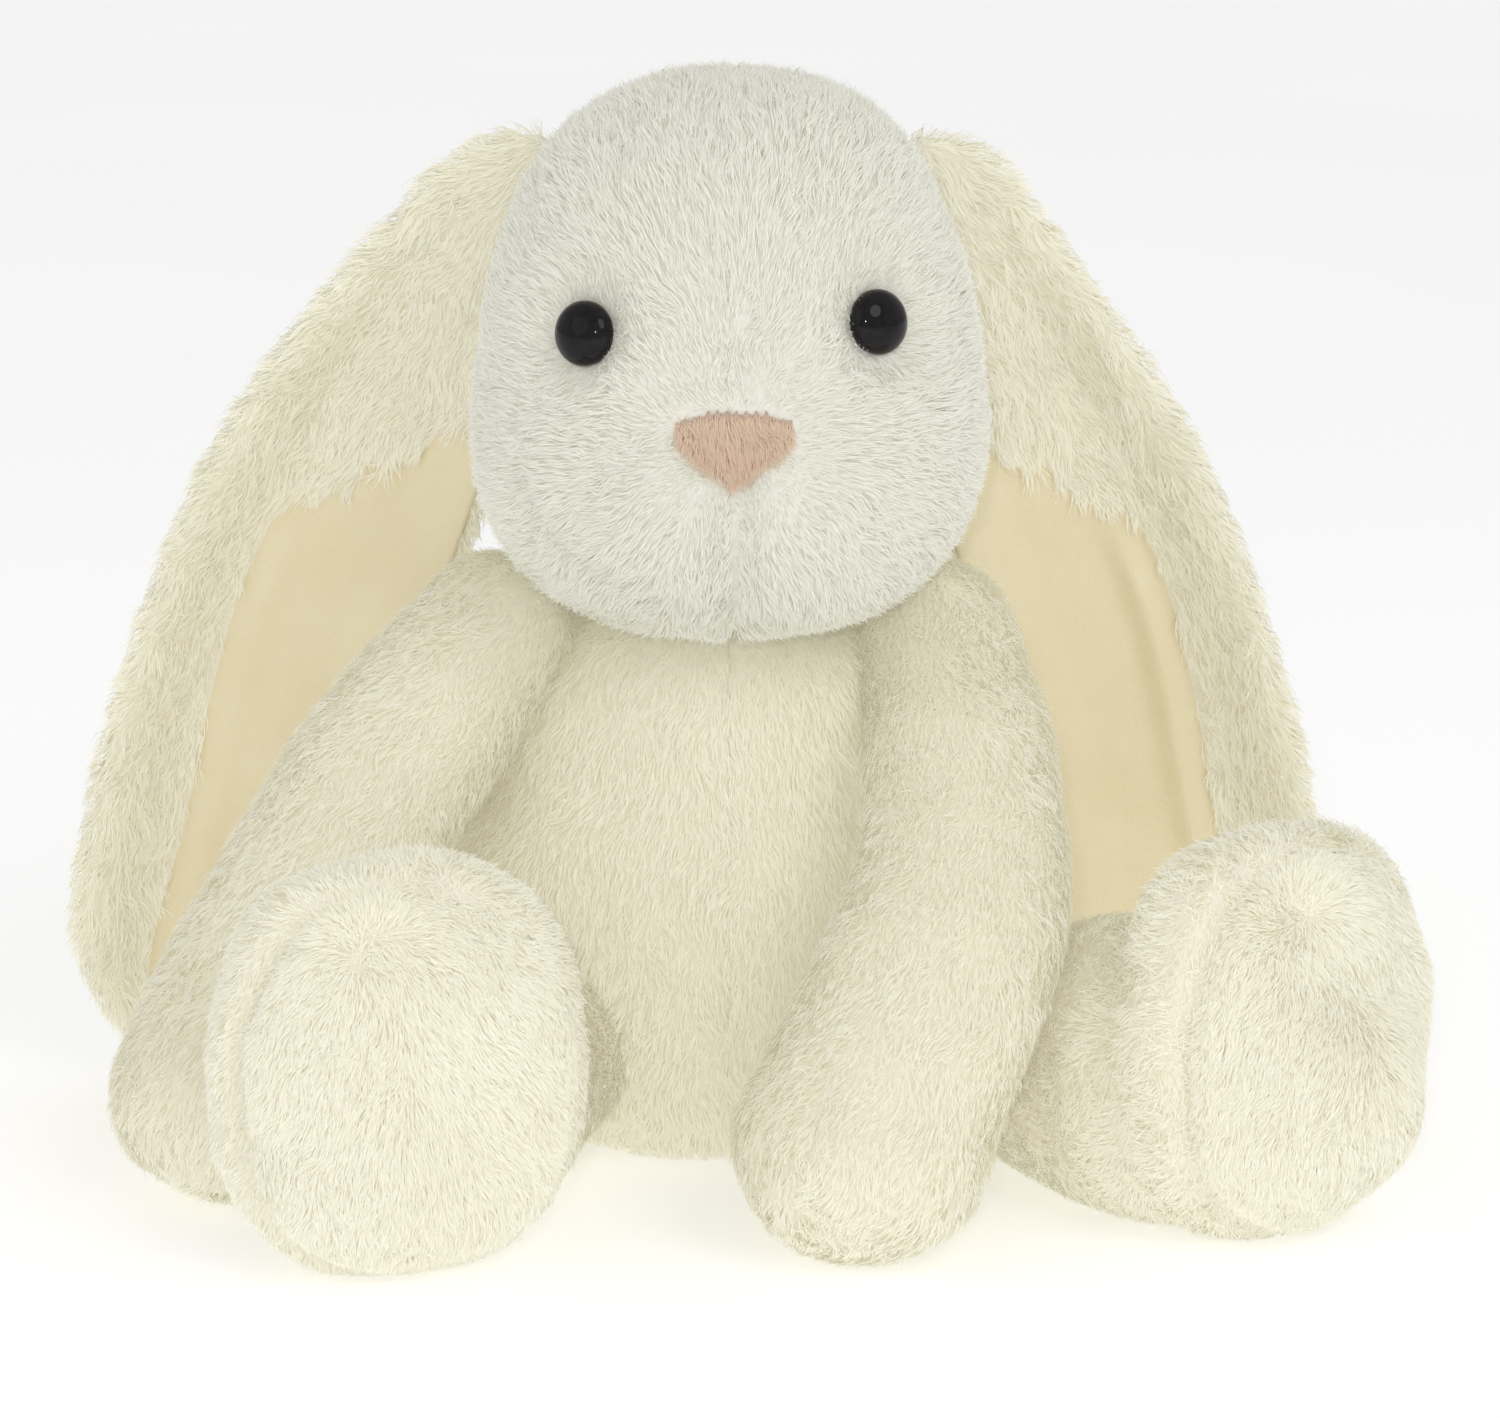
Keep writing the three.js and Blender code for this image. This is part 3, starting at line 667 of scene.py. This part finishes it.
def part_of(mesh, point, way):
    """A copy of what lies ahead of a plane, closed at the cut."""
    made = mesh.copy()
    geometry = [*made.verts, *made.edges, *made.faces]
    plane = dict(dist=CUT_REACH, plane_co=Vector(point), plane_no=Vector(way))
    cut = bmesh.ops.bisect_plane(made, geom=geometry, clear_inner=True, **plane)
    edges = [e for e in cut["geom_cut"] if isinstance(e, bmesh.types.BMEdge)]
    bmesh.ops.triangle_fill(made, use_beauty=True, use_dissolve=False, edges=edges)
    bmesh.ops.recalc_face_normals(made, faces=made.faces)
    return made


def shrunk(mesh, depth):
    made = mesh.copy()
    write_points(made, read_points(made) - vertex_ways(made) * depth)
    return made


def on_side(points, sign):
    """1 on one side of the toy's middle plane and 0 on the other."""
    return np.where(points[:, 0] * sign > 0, 1.0, 0.0)


# ---- Head ----


def face_place(x, up):
    """The forward point of the pressed pile at a spot on the face, and the outward way there."""
    half, level = HEAD["half"], up / HEAD["half"][2]
    spread = (1 - abs(level) ** HEAD["roundness"]) ** (1 / HEAD["roundness"]) * (1 - HEAD["swell"] * level)
    forward = half[1] * spread * math.sqrt(1 - (x / (half[0] * spread)) ** 2)
    way = unit(np.array([x / half[0] ** 2, -forward / half[1] ** 2, up / half[2] ** 2]))
    return np.array([x, -forward, up]) + HEAD["middle"], way


def head_skin():
    mesh = sphere()
    upright(mesh, **HEAD)
    x, y, z = HEAD["middle"]
    for sign in (-1, 1):
        push(mesh, (sign * 33, y - 34, z - 24), 42, 3.0)
        push(mesh, (sign * 12, y - 50, z - 30), 24, 3.0)
    for spot in EYES.values():
        place, _ = face_place(*spot)
        push(mesh, place, 17, -4.0)
    push(mesh, face_place(0, NOSE_MIDDLE)[0], 20, -1.5)
    chin = [face_place(NOSE["x"], up)[0] for up in (-17, -30, -42, -52, -60)]
    crease(mesh, chin, 8, 3.6)
    bridge = [face_place(NOSE["x"], up)[0] for up in (1, 8)]
    crease(mesh, bridge, 6, 2.6)
    cheek = [face_place(x, up)[0] for x, up in ((-48, -20), (-42, -34), (-30, -46))]
    crease(mesh, cheek, 8, 2.2)
    ripple(mesh, 21, 45, 0.35)
    return mesh


def face_comb(points):
    """Away from the nose over the face, away from each eye near it, and down at the back."""
    nose, _ = face_place(NOSE["x"], NOSE_MIDDLE)
    ways = unit(points - nose)
    back = smooth((points[:, 1] - HEAD["middle"][1] + 5) / 40)
    ways = ways * (1 - back)[:, None] + np.array([0, 0.2, -1.0]) * back[:, None]
    below = points[:, 2] < nose[2]
    parted = smooth(1 - np.abs(points[:, 0] - NOSE["x"]) / 9) * below * (1 - back)
    ways[:, 0] += 0.8 * parted * np.sign(points[:, 0] - NOSE["x"])
    for spot in EYES.values():
        place, _ = face_place(*spot)
        off = points - place
        near = smooth(1 - (np.linalg.norm(off, axis=1) - 6) / 16)[:, None]
        ways = ways * (1 - near) + unit(off) * near
    return ways


def near_eyes(points):
    gap = [np.linalg.norm(points - face_place(*spot)[0], axis=1) for spot in EYES.values()]
    return np.min(gap, axis=0)


def in_nose(points, margin=0.0):
    """Whether points lie behind the three-sided nose patch."""
    x = (points[:, 0] - NOSE["x"]) / (NOSE["half"] + margin)
    up = points[:, 2] - HEAD["middle"][2]
    share = (up - NOSE["tip"] + margin) / (NOSE["top"] - NOSE["tip"] + 2 * margin)
    limit = np.sin(np.clip(share, 0, 1) * math.pi * 0.6) ** 0.95
    top = 1 - 0.14 * np.abs(x) ** 3
    return (np.abs(x) < limit) & (share > 0) & (share < top) & (points[:, 1] < HEAD["middle"][1] - 25)


def pile_on_face(points):
    """How long the face's hairs are: short near the nose and longer on the crown."""
    nose, _ = face_place(NOSE["x"], NOSE_MIDDLE)
    close = np.linalg.norm(points - nose, axis=1) - 12
    crown = smooth((points[:, 2] - HEAD["middle"][2] - 25) / 40)
    return 4.0 + 1.4 * smooth(close / 25) + 1.2 * crown


def make_head():
    skin = head_skin()
    for side, sign in SIDES.items():
        panel = part_of(skin, (0, 0, 0), (sign, 0, 0))
        piece = new_object(f"head_skin_{side}", panel, FACE_CLOTH)
        attach(piece, "head", [f"head_panel_{side}"])
        hair = grow(
            f"head_pile_{side}", skin, FACE_PILE, PILES["head"], face_comb, pile_on_face, SEEDS["head"],
            rise=0.45, wild=0.17, width=0.3, clump=3.5, pull=0.25,
            weigh=lambda points: on_side(points, sign) * np.where(points[:, 1] > 10, 0.6, 1.0),
            keep=lambda points: (near_eyes(points) > EYE["radius"] - 1.2) & ~in_nose(points, 0.3),
        )
        attach(hair, "head")
    stuffing = new_object("head_filling", shrunk(skin, FILLING_DEPTH), FILL)
    attach(stuffing, "head", ["head_stuffing"])
    make_nose(skin)


def make_nose(skin):
    patch = skin.copy()
    outside = [f for f in patch.faces if not in_nose(np.array([f.calc_center_median()]), -0.6)[0]]
    bmesh.ops.delete(patch, geom=outside, context="FACES")
    write_points(patch, read_points(patch) + vertex_ways(patch) * 1.2)
    bmesh.ops.solidify(patch, geom=patch.faces[:], thickness=1.5)
    bmesh.ops.recalc_face_normals(patch, faces=patch.faces)
    piece = new_object("nose_cloth", patch, NOSE_CLOTH)
    attach(piece, "head", ["nose_patch"])
    hair = grow(
        "nose_pile", skin, NOSE_PILE, PILES["nose"], lambda p: np.tile([0.0, 0, -1], (len(p), 1)),
        PILE_LENGTH["nose"], SEEDS["nose"],
        rise=0.6, wild=0.2, width=0.3, clump=3, pull=0.35,
        weigh=lambda points: in_nose(points, 2.0) * 1.0, keep=lambda points: in_nose(points),
    )
    attach(hair, "head")


def make_eyes():
    for side, spot in EYES.items():
        place, way = face_place(*spot)
        mesh = bmesh.new()
        bmesh.ops.create_uvsphere(mesh, u_segments=48, v_segments=32, radius=1)
        points = read_points(mesh)
        up = points[:, 2]
        points[:, :2] *= EYE["radius"]
        rim = EYE["rim"]
        points[:, 2] = np.where(up > 0, up * (EYE["dome"] - rim) + rim, up * rim) - EYE["sunk"]
        side_way = unit(np.cross([0, 0, 1], way))
        over = np.cross(way, side_way)
        turned_points = points[:, :1] * side_way + points[:, 1:2] * over + points[:, 2:] * way
        write_points(mesh, turned_points + place)
        bmesh.ops.recalc_face_normals(mesh, faces=mesh.faces)
        piece = new_object(f"eye_dome_{side}", mesh, EYE_GLOSS)
        attach(piece, "head", [f"eye_{side}"])


# ---- Torso ----


def torso_skin():
    mesh = sphere()
    upright(mesh, **TORSO)
    front = -TORSO["half"][1]
    crease(mesh, [(0, front, 112), (1, front - 2, 90), (0, front - 3, 65), (0, front - 3, 40)], 9, 3.4)
    push(mesh, (0, front, 40), 45, 2.0)
    for sign in (-1, 1):
        push(mesh, (sign * 40, -8, 116), 42, 9.0)
        push(mesh, (sign * 66, -16, 66), 46, 6.0)
    push(mesh, (0, -26, 120), 40, 8.0)
    push(mesh, (0, 8, 124), 52, 15.0)
    ripple(mesh, 22, 50, 0.5)
    flatten(mesh, FLOOR_GAP)
    return mesh


def down_comb(points):
    out = unit(points * np.array([1, 1, 0]))
    return np.array([0, 0, -1.0]) + out * 0.15


def make_torso():
    skin = torso_skin()
    for side, sign in SIDES.items():
        panel = part_of(skin, (0, 0, 0), (sign, 0, 0))
        piece = new_object(f"torso_skin_{side}", panel, BODY_CLOTH)
        attach(piece, "torso", [f"torso_panel_{side}"])
        hair = grow(
            f"torso_pile_{side}", skin, BODY_PILE, PILES["torso"], down_comb,
            PILE_LENGTH["torso"], SEEDS["torso"],
            **PLUSH, weigh=lambda points: on_side(points, sign) * np.where(points[:, 2] > 2.5, 1, 0.15)
            * np.where(points[:, 1] > 20, 0.7, 1.0),
        )
        attach(hair, "torso")
    filling = shrunk(skin, FILLING_DEPTH)
    upper = part_of(filling, (0, 0, SEAT_BAG_TOP + BAG_GAP), UP)
    lower = part_of(filling, (0, 0, SEAT_BAG_TOP), DOWN)
    attach(new_object("torso_filling", upper, FILL), "torso", ["torso_stuffing"])
    attach(new_object("seat_bag", lower, BAG), "torso", ["seat_pellet_bag"])
    make_tail()


def make_tail():
    mesh = sphere(5)
    write_points(mesh, read_points(mesh) * TAIL["radius"] + np.array(TAIL["middle"]))
    ripple(mesh, 27, 18, 0.4)
    piece = new_object("tail_skin", mesh, BODY_CLOTH)
    attach(piece, "torso", ["tail_cover"])
    hair = grow(
        "tail_pile", mesh, BODY_PILE, PILES["tail"], lambda p: np.array([0, 0.6, -0.7]) + 0 * p,
        PILE_LENGTH["tail"], SEEDS["tail"],
        rise=0.8, wild=0.35, width=0.5, clump=7, pull=0.5,
        weigh=lambda points: np.where(points[:, 1] > 42, 1.0, 0.05),
    )
    attach(hair, "torso")
    filling = shrunk(mesh, 3)
    attach(new_object("tail_filling", filling, FILL), "torso", ["tail_stuffing"])


# ---- Arms ----


def comb_along(stops):
    """A comb that follows a limb from its first stop to its last."""
    row = curve_through(stops, 40)[:, :3]
    ways = unit(np.gradient(row, axis=0))

    def comb(points):
        nearest = np.argmin(((points[:, None, :] - row[None]) ** 2).sum(2), axis=1)
        return ways[nearest]

    return comb


def make_arms():
    for side, sign in SIDES.items():
        stops = ARMS[side]
        skin = remeshed(limb(stops, ARM_BALLS), 6)
        ripple(skin, 23 + sign, 40, 0.5)
        flatten(skin, FLOOR_GAP)
        shoulder = np.array(stops[0][:3], float)
        body = f"arm_{side}"
        down_arm = np.array(stops[1][:3]) - shoulder
        bend = ("torso", body, shoulder + down_arm * ARM_BEND[0], shoulder + down_arm * ARM_BEND[1])
        piece = new_object(f"arm_skin_{side}", skin, BODY_CLOTH)
        attach(piece, bend, [f"arm_cover_{side}"])
        hair = grow(
            f"arm_pile_{side}", skin, BODY_PILE, PILES["arm"], comb_along(stops),
            PILE_LENGTH["arm"], SEEDS["arm"] + sign,
            **PLUSH,
        )
        attach(hair, bend)
        row = curve_through(stops, 41)[:, :3]
        at, way = row[WRIST], unit(row[WRIST + 1] - row[WRIST - 1])
        filling = shrunk(skin, FILLING_DEPTH)
        upper = part_of(filling, at, -way)
        lower = part_of(filling, at + way * BAG_GAP, way)
        upper = new_object(f"arm_filling_{side}", upper, FILL)
        lower = new_object(f"paw_bag_{side}", lower, BAG)
        attach(upper, bend, [f"arm_stuffing_{side}"])
        attach(lower, body, [f"paw_pellet_bag_{side}"])


# ---- Legs ----


def turned_about(axis, degrees):
    """The downward way, turned about a level axis."""
    angle = math.radians(degrees)
    return np.array([0, 0, -math.cos(angle)]) + np.cross(axis, [0, 0, 1]) * math.sin(angle)


def foot_gather(seam, sole_way):
    """Where the cloth is gathered, high on the sole's front."""
    outward = np.cross(sole_way, [0, 0, 1])
    return seam + sole_way * 12 + outward * 10 + np.array([0, 0, 37])


def leg_skin(side):
    hip, foot, sole_way, turn = leg_places(side)
    radius, ankle_radius = HIP["radius"], HIP["ankle_radius"][side]
    ankle = foot.copy()
    ankle[2] = ankle_radius
    calf = (hip + ankle) / 2 + np.array([0, -HIP["calf_forward"][side], 0])
    calf_radius = radius * 0.4 + ankle_radius * 0.6
    stops = [
        (*hip, radius, radius), (*calf, calf_radius, ankle_radius), (*ankle, ankle_radius, ankle_radius)
    ]
    mesh = limb(stops, LEG_BALLS)
    add_foot(mesh, foot, turn)
    skin = remeshed(mesh, 7)
    seam = foot + sole_way * SOLE_SEAM
    points = read_points(skin)
    off = (points - seam) @ sole_way
    rim = smooth(1 - np.abs(off) / 4.5)
    outward = unit(np.cross(sole_way, [0, 0, 1]))
    turned_to = smooth(unit(points - foot) @ outward * 0.9 + 0.2)
    write_points(skin, points - vertex_ways(skin) * (rim * 3.4 * turned_to)[:, None])
    gather = foot_gather(seam, sole_way)
    push(skin, gather, 13, -3.0)
    for angle in (-60, -25, 10, 45):
        way = turned_about(sole_way, angle)
        crease(skin, [gather + way * 4, gather + way * 17], 4.5, 1.4)
    ripple(skin, 24 + SIDES[side], 38, 0.6)
    flatten(skin, FLOOR_GAP)
    return skin, stops, seam, sole_way


def pile_on_foot(seam, sole_way):
    """How long the hairs are: short along the sole's seam."""
    return lambda points: PILE_LENGTH["leg"] * (0.5 + 0.5 * smooth(np.abs((points - seam) @ sole_way) / 7))


def leg_comb(stops, seam, sole_way, foot):
    along = comb_along(stops)
    gather = foot_gather(seam, sole_way)

    def comb(points):
        on_sole = smooth(((points - seam) @ sole_way + 4) / 8)[:, None]
        out = points - foot
        out = unit(out - sole_way * (out @ sole_way)[:, None])
        sole = out * 0.5 + np.array([0, 0, -0.9])
        on_foot = smooth(1.6 - np.abs((points - foot) @ sole_way) / 24)[:, None]
        side = (along(points) * (1 - on_foot) + (np.array([0, 0, -0.8]) - sole_way * 0.6) * on_foot)
        off = points - gather
        near = smooth(1 - (np.linalg.norm(off, axis=1) - 5) / 22)[:, None]
        return (side * (1 - on_sole) + sole * on_sole) * (1 - near) + unit(off) * near

    return comb


def make_legs():
    for side, sign in SIDES.items():
        skin, stops, seam, sole_way = leg_skin(side)
        hip = np.array(stops[0][:3])
        foot = leg_places(side)[1]
        body = f"leg_{side}"
        back = hip + (foot - hip) * LEG_BEND[1]
        bend = ("torso", body, hip + (foot - hip) * LEG_BEND[0], back)
        comb = leg_comb(stops, seam, sole_way, foot)
        pieces = dict(leg=(-sole_way, "leg_cover"), sole=(sole_way, "sole_panel"))
        for name, (ahead, node) in pieces.items():
            panel = part_of(skin, seam, ahead)
            on = bend if name == "leg" else body
            piece = new_object(f"{name}_skin_{side}", panel, BODY_CLOTH)
            attach(piece, on, [f"{node}_{side}"])
            hair = grow(
                f"{name}_pile_{side}", skin, BODY_PILE, PILES[name], comb, pile_on_foot(seam, sole_way),
                SEEDS["leg"] + sign,
                **(dict(PLUSH, wild=FOOT_MUSS[side]) if name == "leg" else PLUSH),
                weigh=lambda points, ahead=ahead: np.where((points - seam) @ ahead > 0, 1.0, 0.0),
            )
            attach(hair, on)
        filling = shrunk(skin, FILLING_DEPTH)
        level, above = (0, 0, FOOT_BAG_TOP), (0, 0, FOOT_BAG_TOP + BAG_GAP)
        way = unit((foot - hip) * np.array([1, 1, 0]))
        bag = part_of(part_of(filling, back, way), level, DOWN)
        bag = new_object(f"foot_bag_{side}", bag, BAG)
        attach(bag, body, [f"foot_pellet_bag_{side}"])
        top = part_of(filling, above, UP)
        rear = part_of(part_of(filling, back - way * BAG_GAP, -way), above, DOWN)
        attach(new_object(f"leg_filling_{side}", top, FILL), bend, [f"leg_stuffing_{side}"])
        attach(new_object(f"hip_filling_{side}", rear, FILL), bend)


# ---- Ears ----


class Ear:
    """A lop ear's surface, from its root to its tip and from edge to edge."""

    def __init__(self, side):
        self.sign = SIDES[side]
        root = np.array(EAR["root"], float)
        drop = root[2] - EAR["tip_height"][side]
        stops = [root] + [root + np.array([out, back, -down * drop]) for out, back, down in EAR_LINE[side]]
        self.row = curve_through(stops, 60)
        lengths = np.linalg.norm(np.diff(self.row, axis=0), axis=1)
        self.run = np.concatenate([[0], np.cumsum(lengths)])
        self.root = root
        self.hang = EAR_HANG[side]

    def half_width(self, share):
        wide = EAR["root_radius"] + (EAR["widest"] - EAR["root_radius"]) * smooth(share / EAR["widest_at"])
        past = np.clip((share - EAR["tip_at"]) / (1 - EAR["tip_at"]), 0, 1)
        early = np.clip(1 - share / 0.1, 0, 1)
        return wide * np.sqrt(np.maximum(1 - past**2, 0)) * np.sqrt(np.maximum(1 - early**2, 0.05))

    def point(self, share, across, lift=0.0):
        """share is from root to tip, across is from -1 at the inner edge to 1 at the outer one."""
        share, across = np.asarray(share, float), np.asarray(across, float)
        run = share * self.run[-1]
        middle = np.stack([np.interp(run, self.run, self.row[:, k]) for k in range(3)], axis=-1)
        ahead = np.stack([np.interp(run + 2, self.run, self.row[:, k]) for k in range(3)], axis=-1)
        behind = np.stack([np.interp(run - 2, self.run, self.row[:, k]) for k in range(3)], axis=-1)
        way = unit(ahead - behind)
        side = unit(np.stack([-way[..., 2], 0 * way[..., 0], way[..., 0]], axis=-1))
        wide = self.half_width(share)
        out = middle + side * (across * wide)[..., None]
        roll = smooth((np.abs(across) - 0.4) / 0.5)
        opened = smooth(share / 0.35)
        out[..., 1] -= wide * opened * (0.16 * across**2 + 0.20 * roll) + lift
        rest = out - self.root
        angle = math.radians(self.hang)
        c, s = math.cos(angle), math.sin(angle)
        out[..., 0] = self.root[0] + rest[..., 0] * c + rest[..., 2] * s
        out[..., 2] = self.root[2] - rest[..., 0] * s + rest[..., 2] * c
        out[..., 0] *= self.sign
        return out

    def sheet(self, shares, acrosses, lift, thickness, columns, rows):
        """A closed sheet over a stretch of the ear."""
        mesh = bmesh.new()
        bmesh.ops.create_grid(mesh, x_segments=columns, y_segments=rows, size=1)
        points = read_points(mesh)
        share = shares[0] + (shares[1] - shares[0]) * (points[:, 1] + 1) / 2
        across = acrosses[0] + (acrosses[1] - acrosses[0]) * (points[:, 0] + 1) / 2
        raised = lift(share, across, self.sign) if callable(lift) else lift
        write_points(mesh, self.point(share, across, raised))
        bmesh.ops.remove_doubles(mesh, verts=mesh.verts, dist=0.05)
        bmesh.ops.recalc_face_normals(mesh, faces=mesh.faces)
        bmesh.ops.solidify(mesh, geom=mesh.faces[:], thickness=thickness)
        bmesh.ops.recalc_face_normals(mesh, faces=mesh.faces)
        return mesh

    def places(self, points):
        """The share and the across value nearest to each point."""
        shares, acrosses = np.meshgrid(np.linspace(0, 1, 60), np.linspace(-1, 1, 21), indexing="ij")
        grid = self.point(shares, acrosses).reshape(-1, 3)
        nearest = np.concatenate([
            np.argmin(((block[:, None] - grid[None]) ** 2).sum(2), axis=1)
            for block in np.array_split(points, max(len(points) // 2000, 1))
        ])
        return shares.ravel()[nearest], acrosses.ravel()[nearest]


def lining_start(across):
    """The share of the ear's length at which the lining starts: further down towards the outer edge."""
    return 0.40 + 0.15 * across + 0.010 * np.sin(across * 14) + 0.008 * np.sin(across * 33 + 2)


def lining_edge(share):
    """How far across the lining shows, towards the ear's outer edge."""
    return 0.40 + 0.05 * np.sin(share * 13 + 1) + 0.18 * smooth((share - 0.75) / 0.25)


LINING_END = 0.955


def within_lining(share, across):
    """0 at the lining's edge and 1 well inside it."""
    gaps = np.stack([
        (share - lining_start(across)) / 0.035,
        (LINING_END - share) / 0.03,
        (lining_edge(share) - across) / 0.16,
        (across + 1.0) / 0.03,
    ])
    return np.clip(gaps.min(axis=0), -1, 1)


def lining_lift(share, across, sign):
    """The lining sinks into the pile at its edges. The toy's left ear has a fold along its outer side."""
    lift = 1.8 * smooth((within_lining(share, across) + 0.6) / 1.2) - 1.2
    fold = np.exp(-(((across - lining_edge(share) + 0.22) / 0.11) ** 2)) * smooth((share - 0.42) / 0.1)
    return lift + (3.4 if sign > 0 else 0.8) * fold * smooth((0.93 - share) / 0.1)


def make_ears():
    for side, sign in SIDES.items():
        ear = Ear(side)
        body = f"ear_{side}"
        outer = ear.sheet((0.0, 0.995), (-1, 1), 0.0, -4.0, 28, 80)
        soften(outer)
        lining = ear.sheet((0.2, 0.975), (-0.97, 0.80), lining_lift, -1.0, 44, 90)
        skin = new_object(f"ear_skin_{side}", outer, BODY_CLOTH)
        attach(skin, body, [f"ear_outer_{side}"])
        cloth = new_object(f"ear_lining_cloth_{side}", lining, LINING)
        attach(cloth, body, [f"ear_lining_{side}"])

        def comb(points, ear=ear):
            share, across = ear.places(points)
            below, above = np.minimum(share + 0.03, 1), np.maximum(share - 0.03, 0)
            outer_side, inner_side = np.minimum(across + 0.1, 1), np.maximum(across - 0.1, -1)
            down = ear.point(below, across) - ear.point(above, across)
            out = ear.point(share, outer_side) - ear.point(share, inner_side)
            return unit(down) + unit(out) * (0.5 * across)[:, None]

        def outside_lining(points, ear=ear):
            share, across = ear.places(points)
            front = points[:, 1] < ear.point(share, across)[:, 1] + 1.5
            return ~(front & (within_lining(share, across) > 0))

        hair = grow(
            f"ear_pile_{side}", outer, BODY_PILE, PILES["ear"], comb, PILE_LENGTH["ear"],
            SEEDS["ear"] + sign,
            rise=0.32, wild=0.2, width=0.36, clump=6, pull=0.4, keep=outside_lining,
        )
        attach(hair, body)


# ---- Studio ----

VIEW = dict(target=(5, 0, 104), distance=1300, elevation=13.5, lens=127)
LIGHTS = dict(
    key=dict(place=(750, -1100, 1200), target=(0, 0, 100), size=0.9, power=4.3),
    fill=dict(place=(-1100, -900, 800), target=(0, 0, 100), size=1.2, power=1),
    catch=dict(place=(-60, -1500, 560), target=(0, -60, 200), size=0.05, power=2.2),
)
WORLD_STRENGTH = 0.6


def make_floor():
    mesh = bmesh.new()
    bmesh.ops.create_grid(mesh, x_segments=2, y_segments=2, size=4000)
    floor = new_object("floor", mesh, FLOOR)


def floor_finish():
    made = Finish("pale_floor", Roughness=0.8, **glow(0.32))
    pale = made.ramp(made.noise(2, 2), [(0.3, (0.96, 0.96, 0.96)), (0.7, (0.98, 0.98, 0.98))])
    made.color(pale)
    made.link(pale, made.shader.inputs["Emission Color"])
    return made.material


FLOOR = floor_finish()


def facing(way):
    """The turn that points a light or a camera along a way."""
    return Vector(way).to_track_quat("-Z", "Y").to_euler()


def add_light(name, place, target, size, power):
    data = bpy.data.lights.new(name, "AREA")
    data.shape = "DISK"
    data.size = size
    data.energy = power
    light = bpy.data.objects.new(name, data)
    light.location = to_frame(place)
    light.rotation_euler = facing(np.array(target, float) - np.array(place, float))
    bpy.context.scene.collection.objects.link(light)


def make_studio():
    make_floor()
    world = bpy.data.worlds.new("studio")
    world.use_nodes = True
    links, nodes = world.node_tree.links, world.node_tree.nodes
    nodes["Background"].inputs["Strength"].default_value = WORLD_STRENGTH
    backdrop = nodes.new("ShaderNodeBackground")
    seen = nodes.new("ShaderNodeLightPath").outputs["Is Camera Ray"]
    either = nodes.new("ShaderNodeMixShader")
    for source, target in ((seen, 0), (nodes["Background"].outputs[0], 1), (backdrop.outputs[0], 2)):
        links.new(source, either.inputs[target])
    for lit in (nodes["Background"], backdrop):
        lit.inputs["Color"].default_value = (1, 1, 1, 1)
    links.new(either.outputs[0], nodes["World Output"].inputs["Surface"])
    bpy.context.scene.world = world
    for name, light in LIGHTS.items():
        add_light(name, **light)
    data = bpy.data.cameras.new("camera")
    data.lens = VIEW["lens"]
    camera = bpy.data.objects.new("camera", data)
    tilt = math.radians(VIEW["elevation"])
    back = np.array([0, -math.cos(tilt), math.sin(tilt)]) * VIEW["distance"]
    camera.location = to_frame(np.array(VIEW["target"]) + back)
    camera.rotation_euler = facing(-back)
    bpy.context.scene.collection.objects.link(camera)
    bpy.context.scene.camera = camera
    bpy.context.scene.view_settings.view_transform = "Standard"


# ---- Inner pieces ----


def dress(node, material):
    """A carried-over part gets its own finish."""
    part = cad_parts[node]
    part.data.materials.clear()
    part.data.materials.append(material)


PILES = dict(head=56000, nose=4200, torso=36000, tail=9000, arm=52000, leg=48000, sole=34000, ear=58000)

make_studio()
make_head()
make_eyes()
make_torso()
make_arms()
make_legs()
make_ears()
for side in SIDES:
    dress(f"eye_washer_{side}", WASHER)
dress("neck_stuffing", FILL)
dress("neck_seam_thread", THREAD)
dress("seat_panel", BODY_CLOTH)
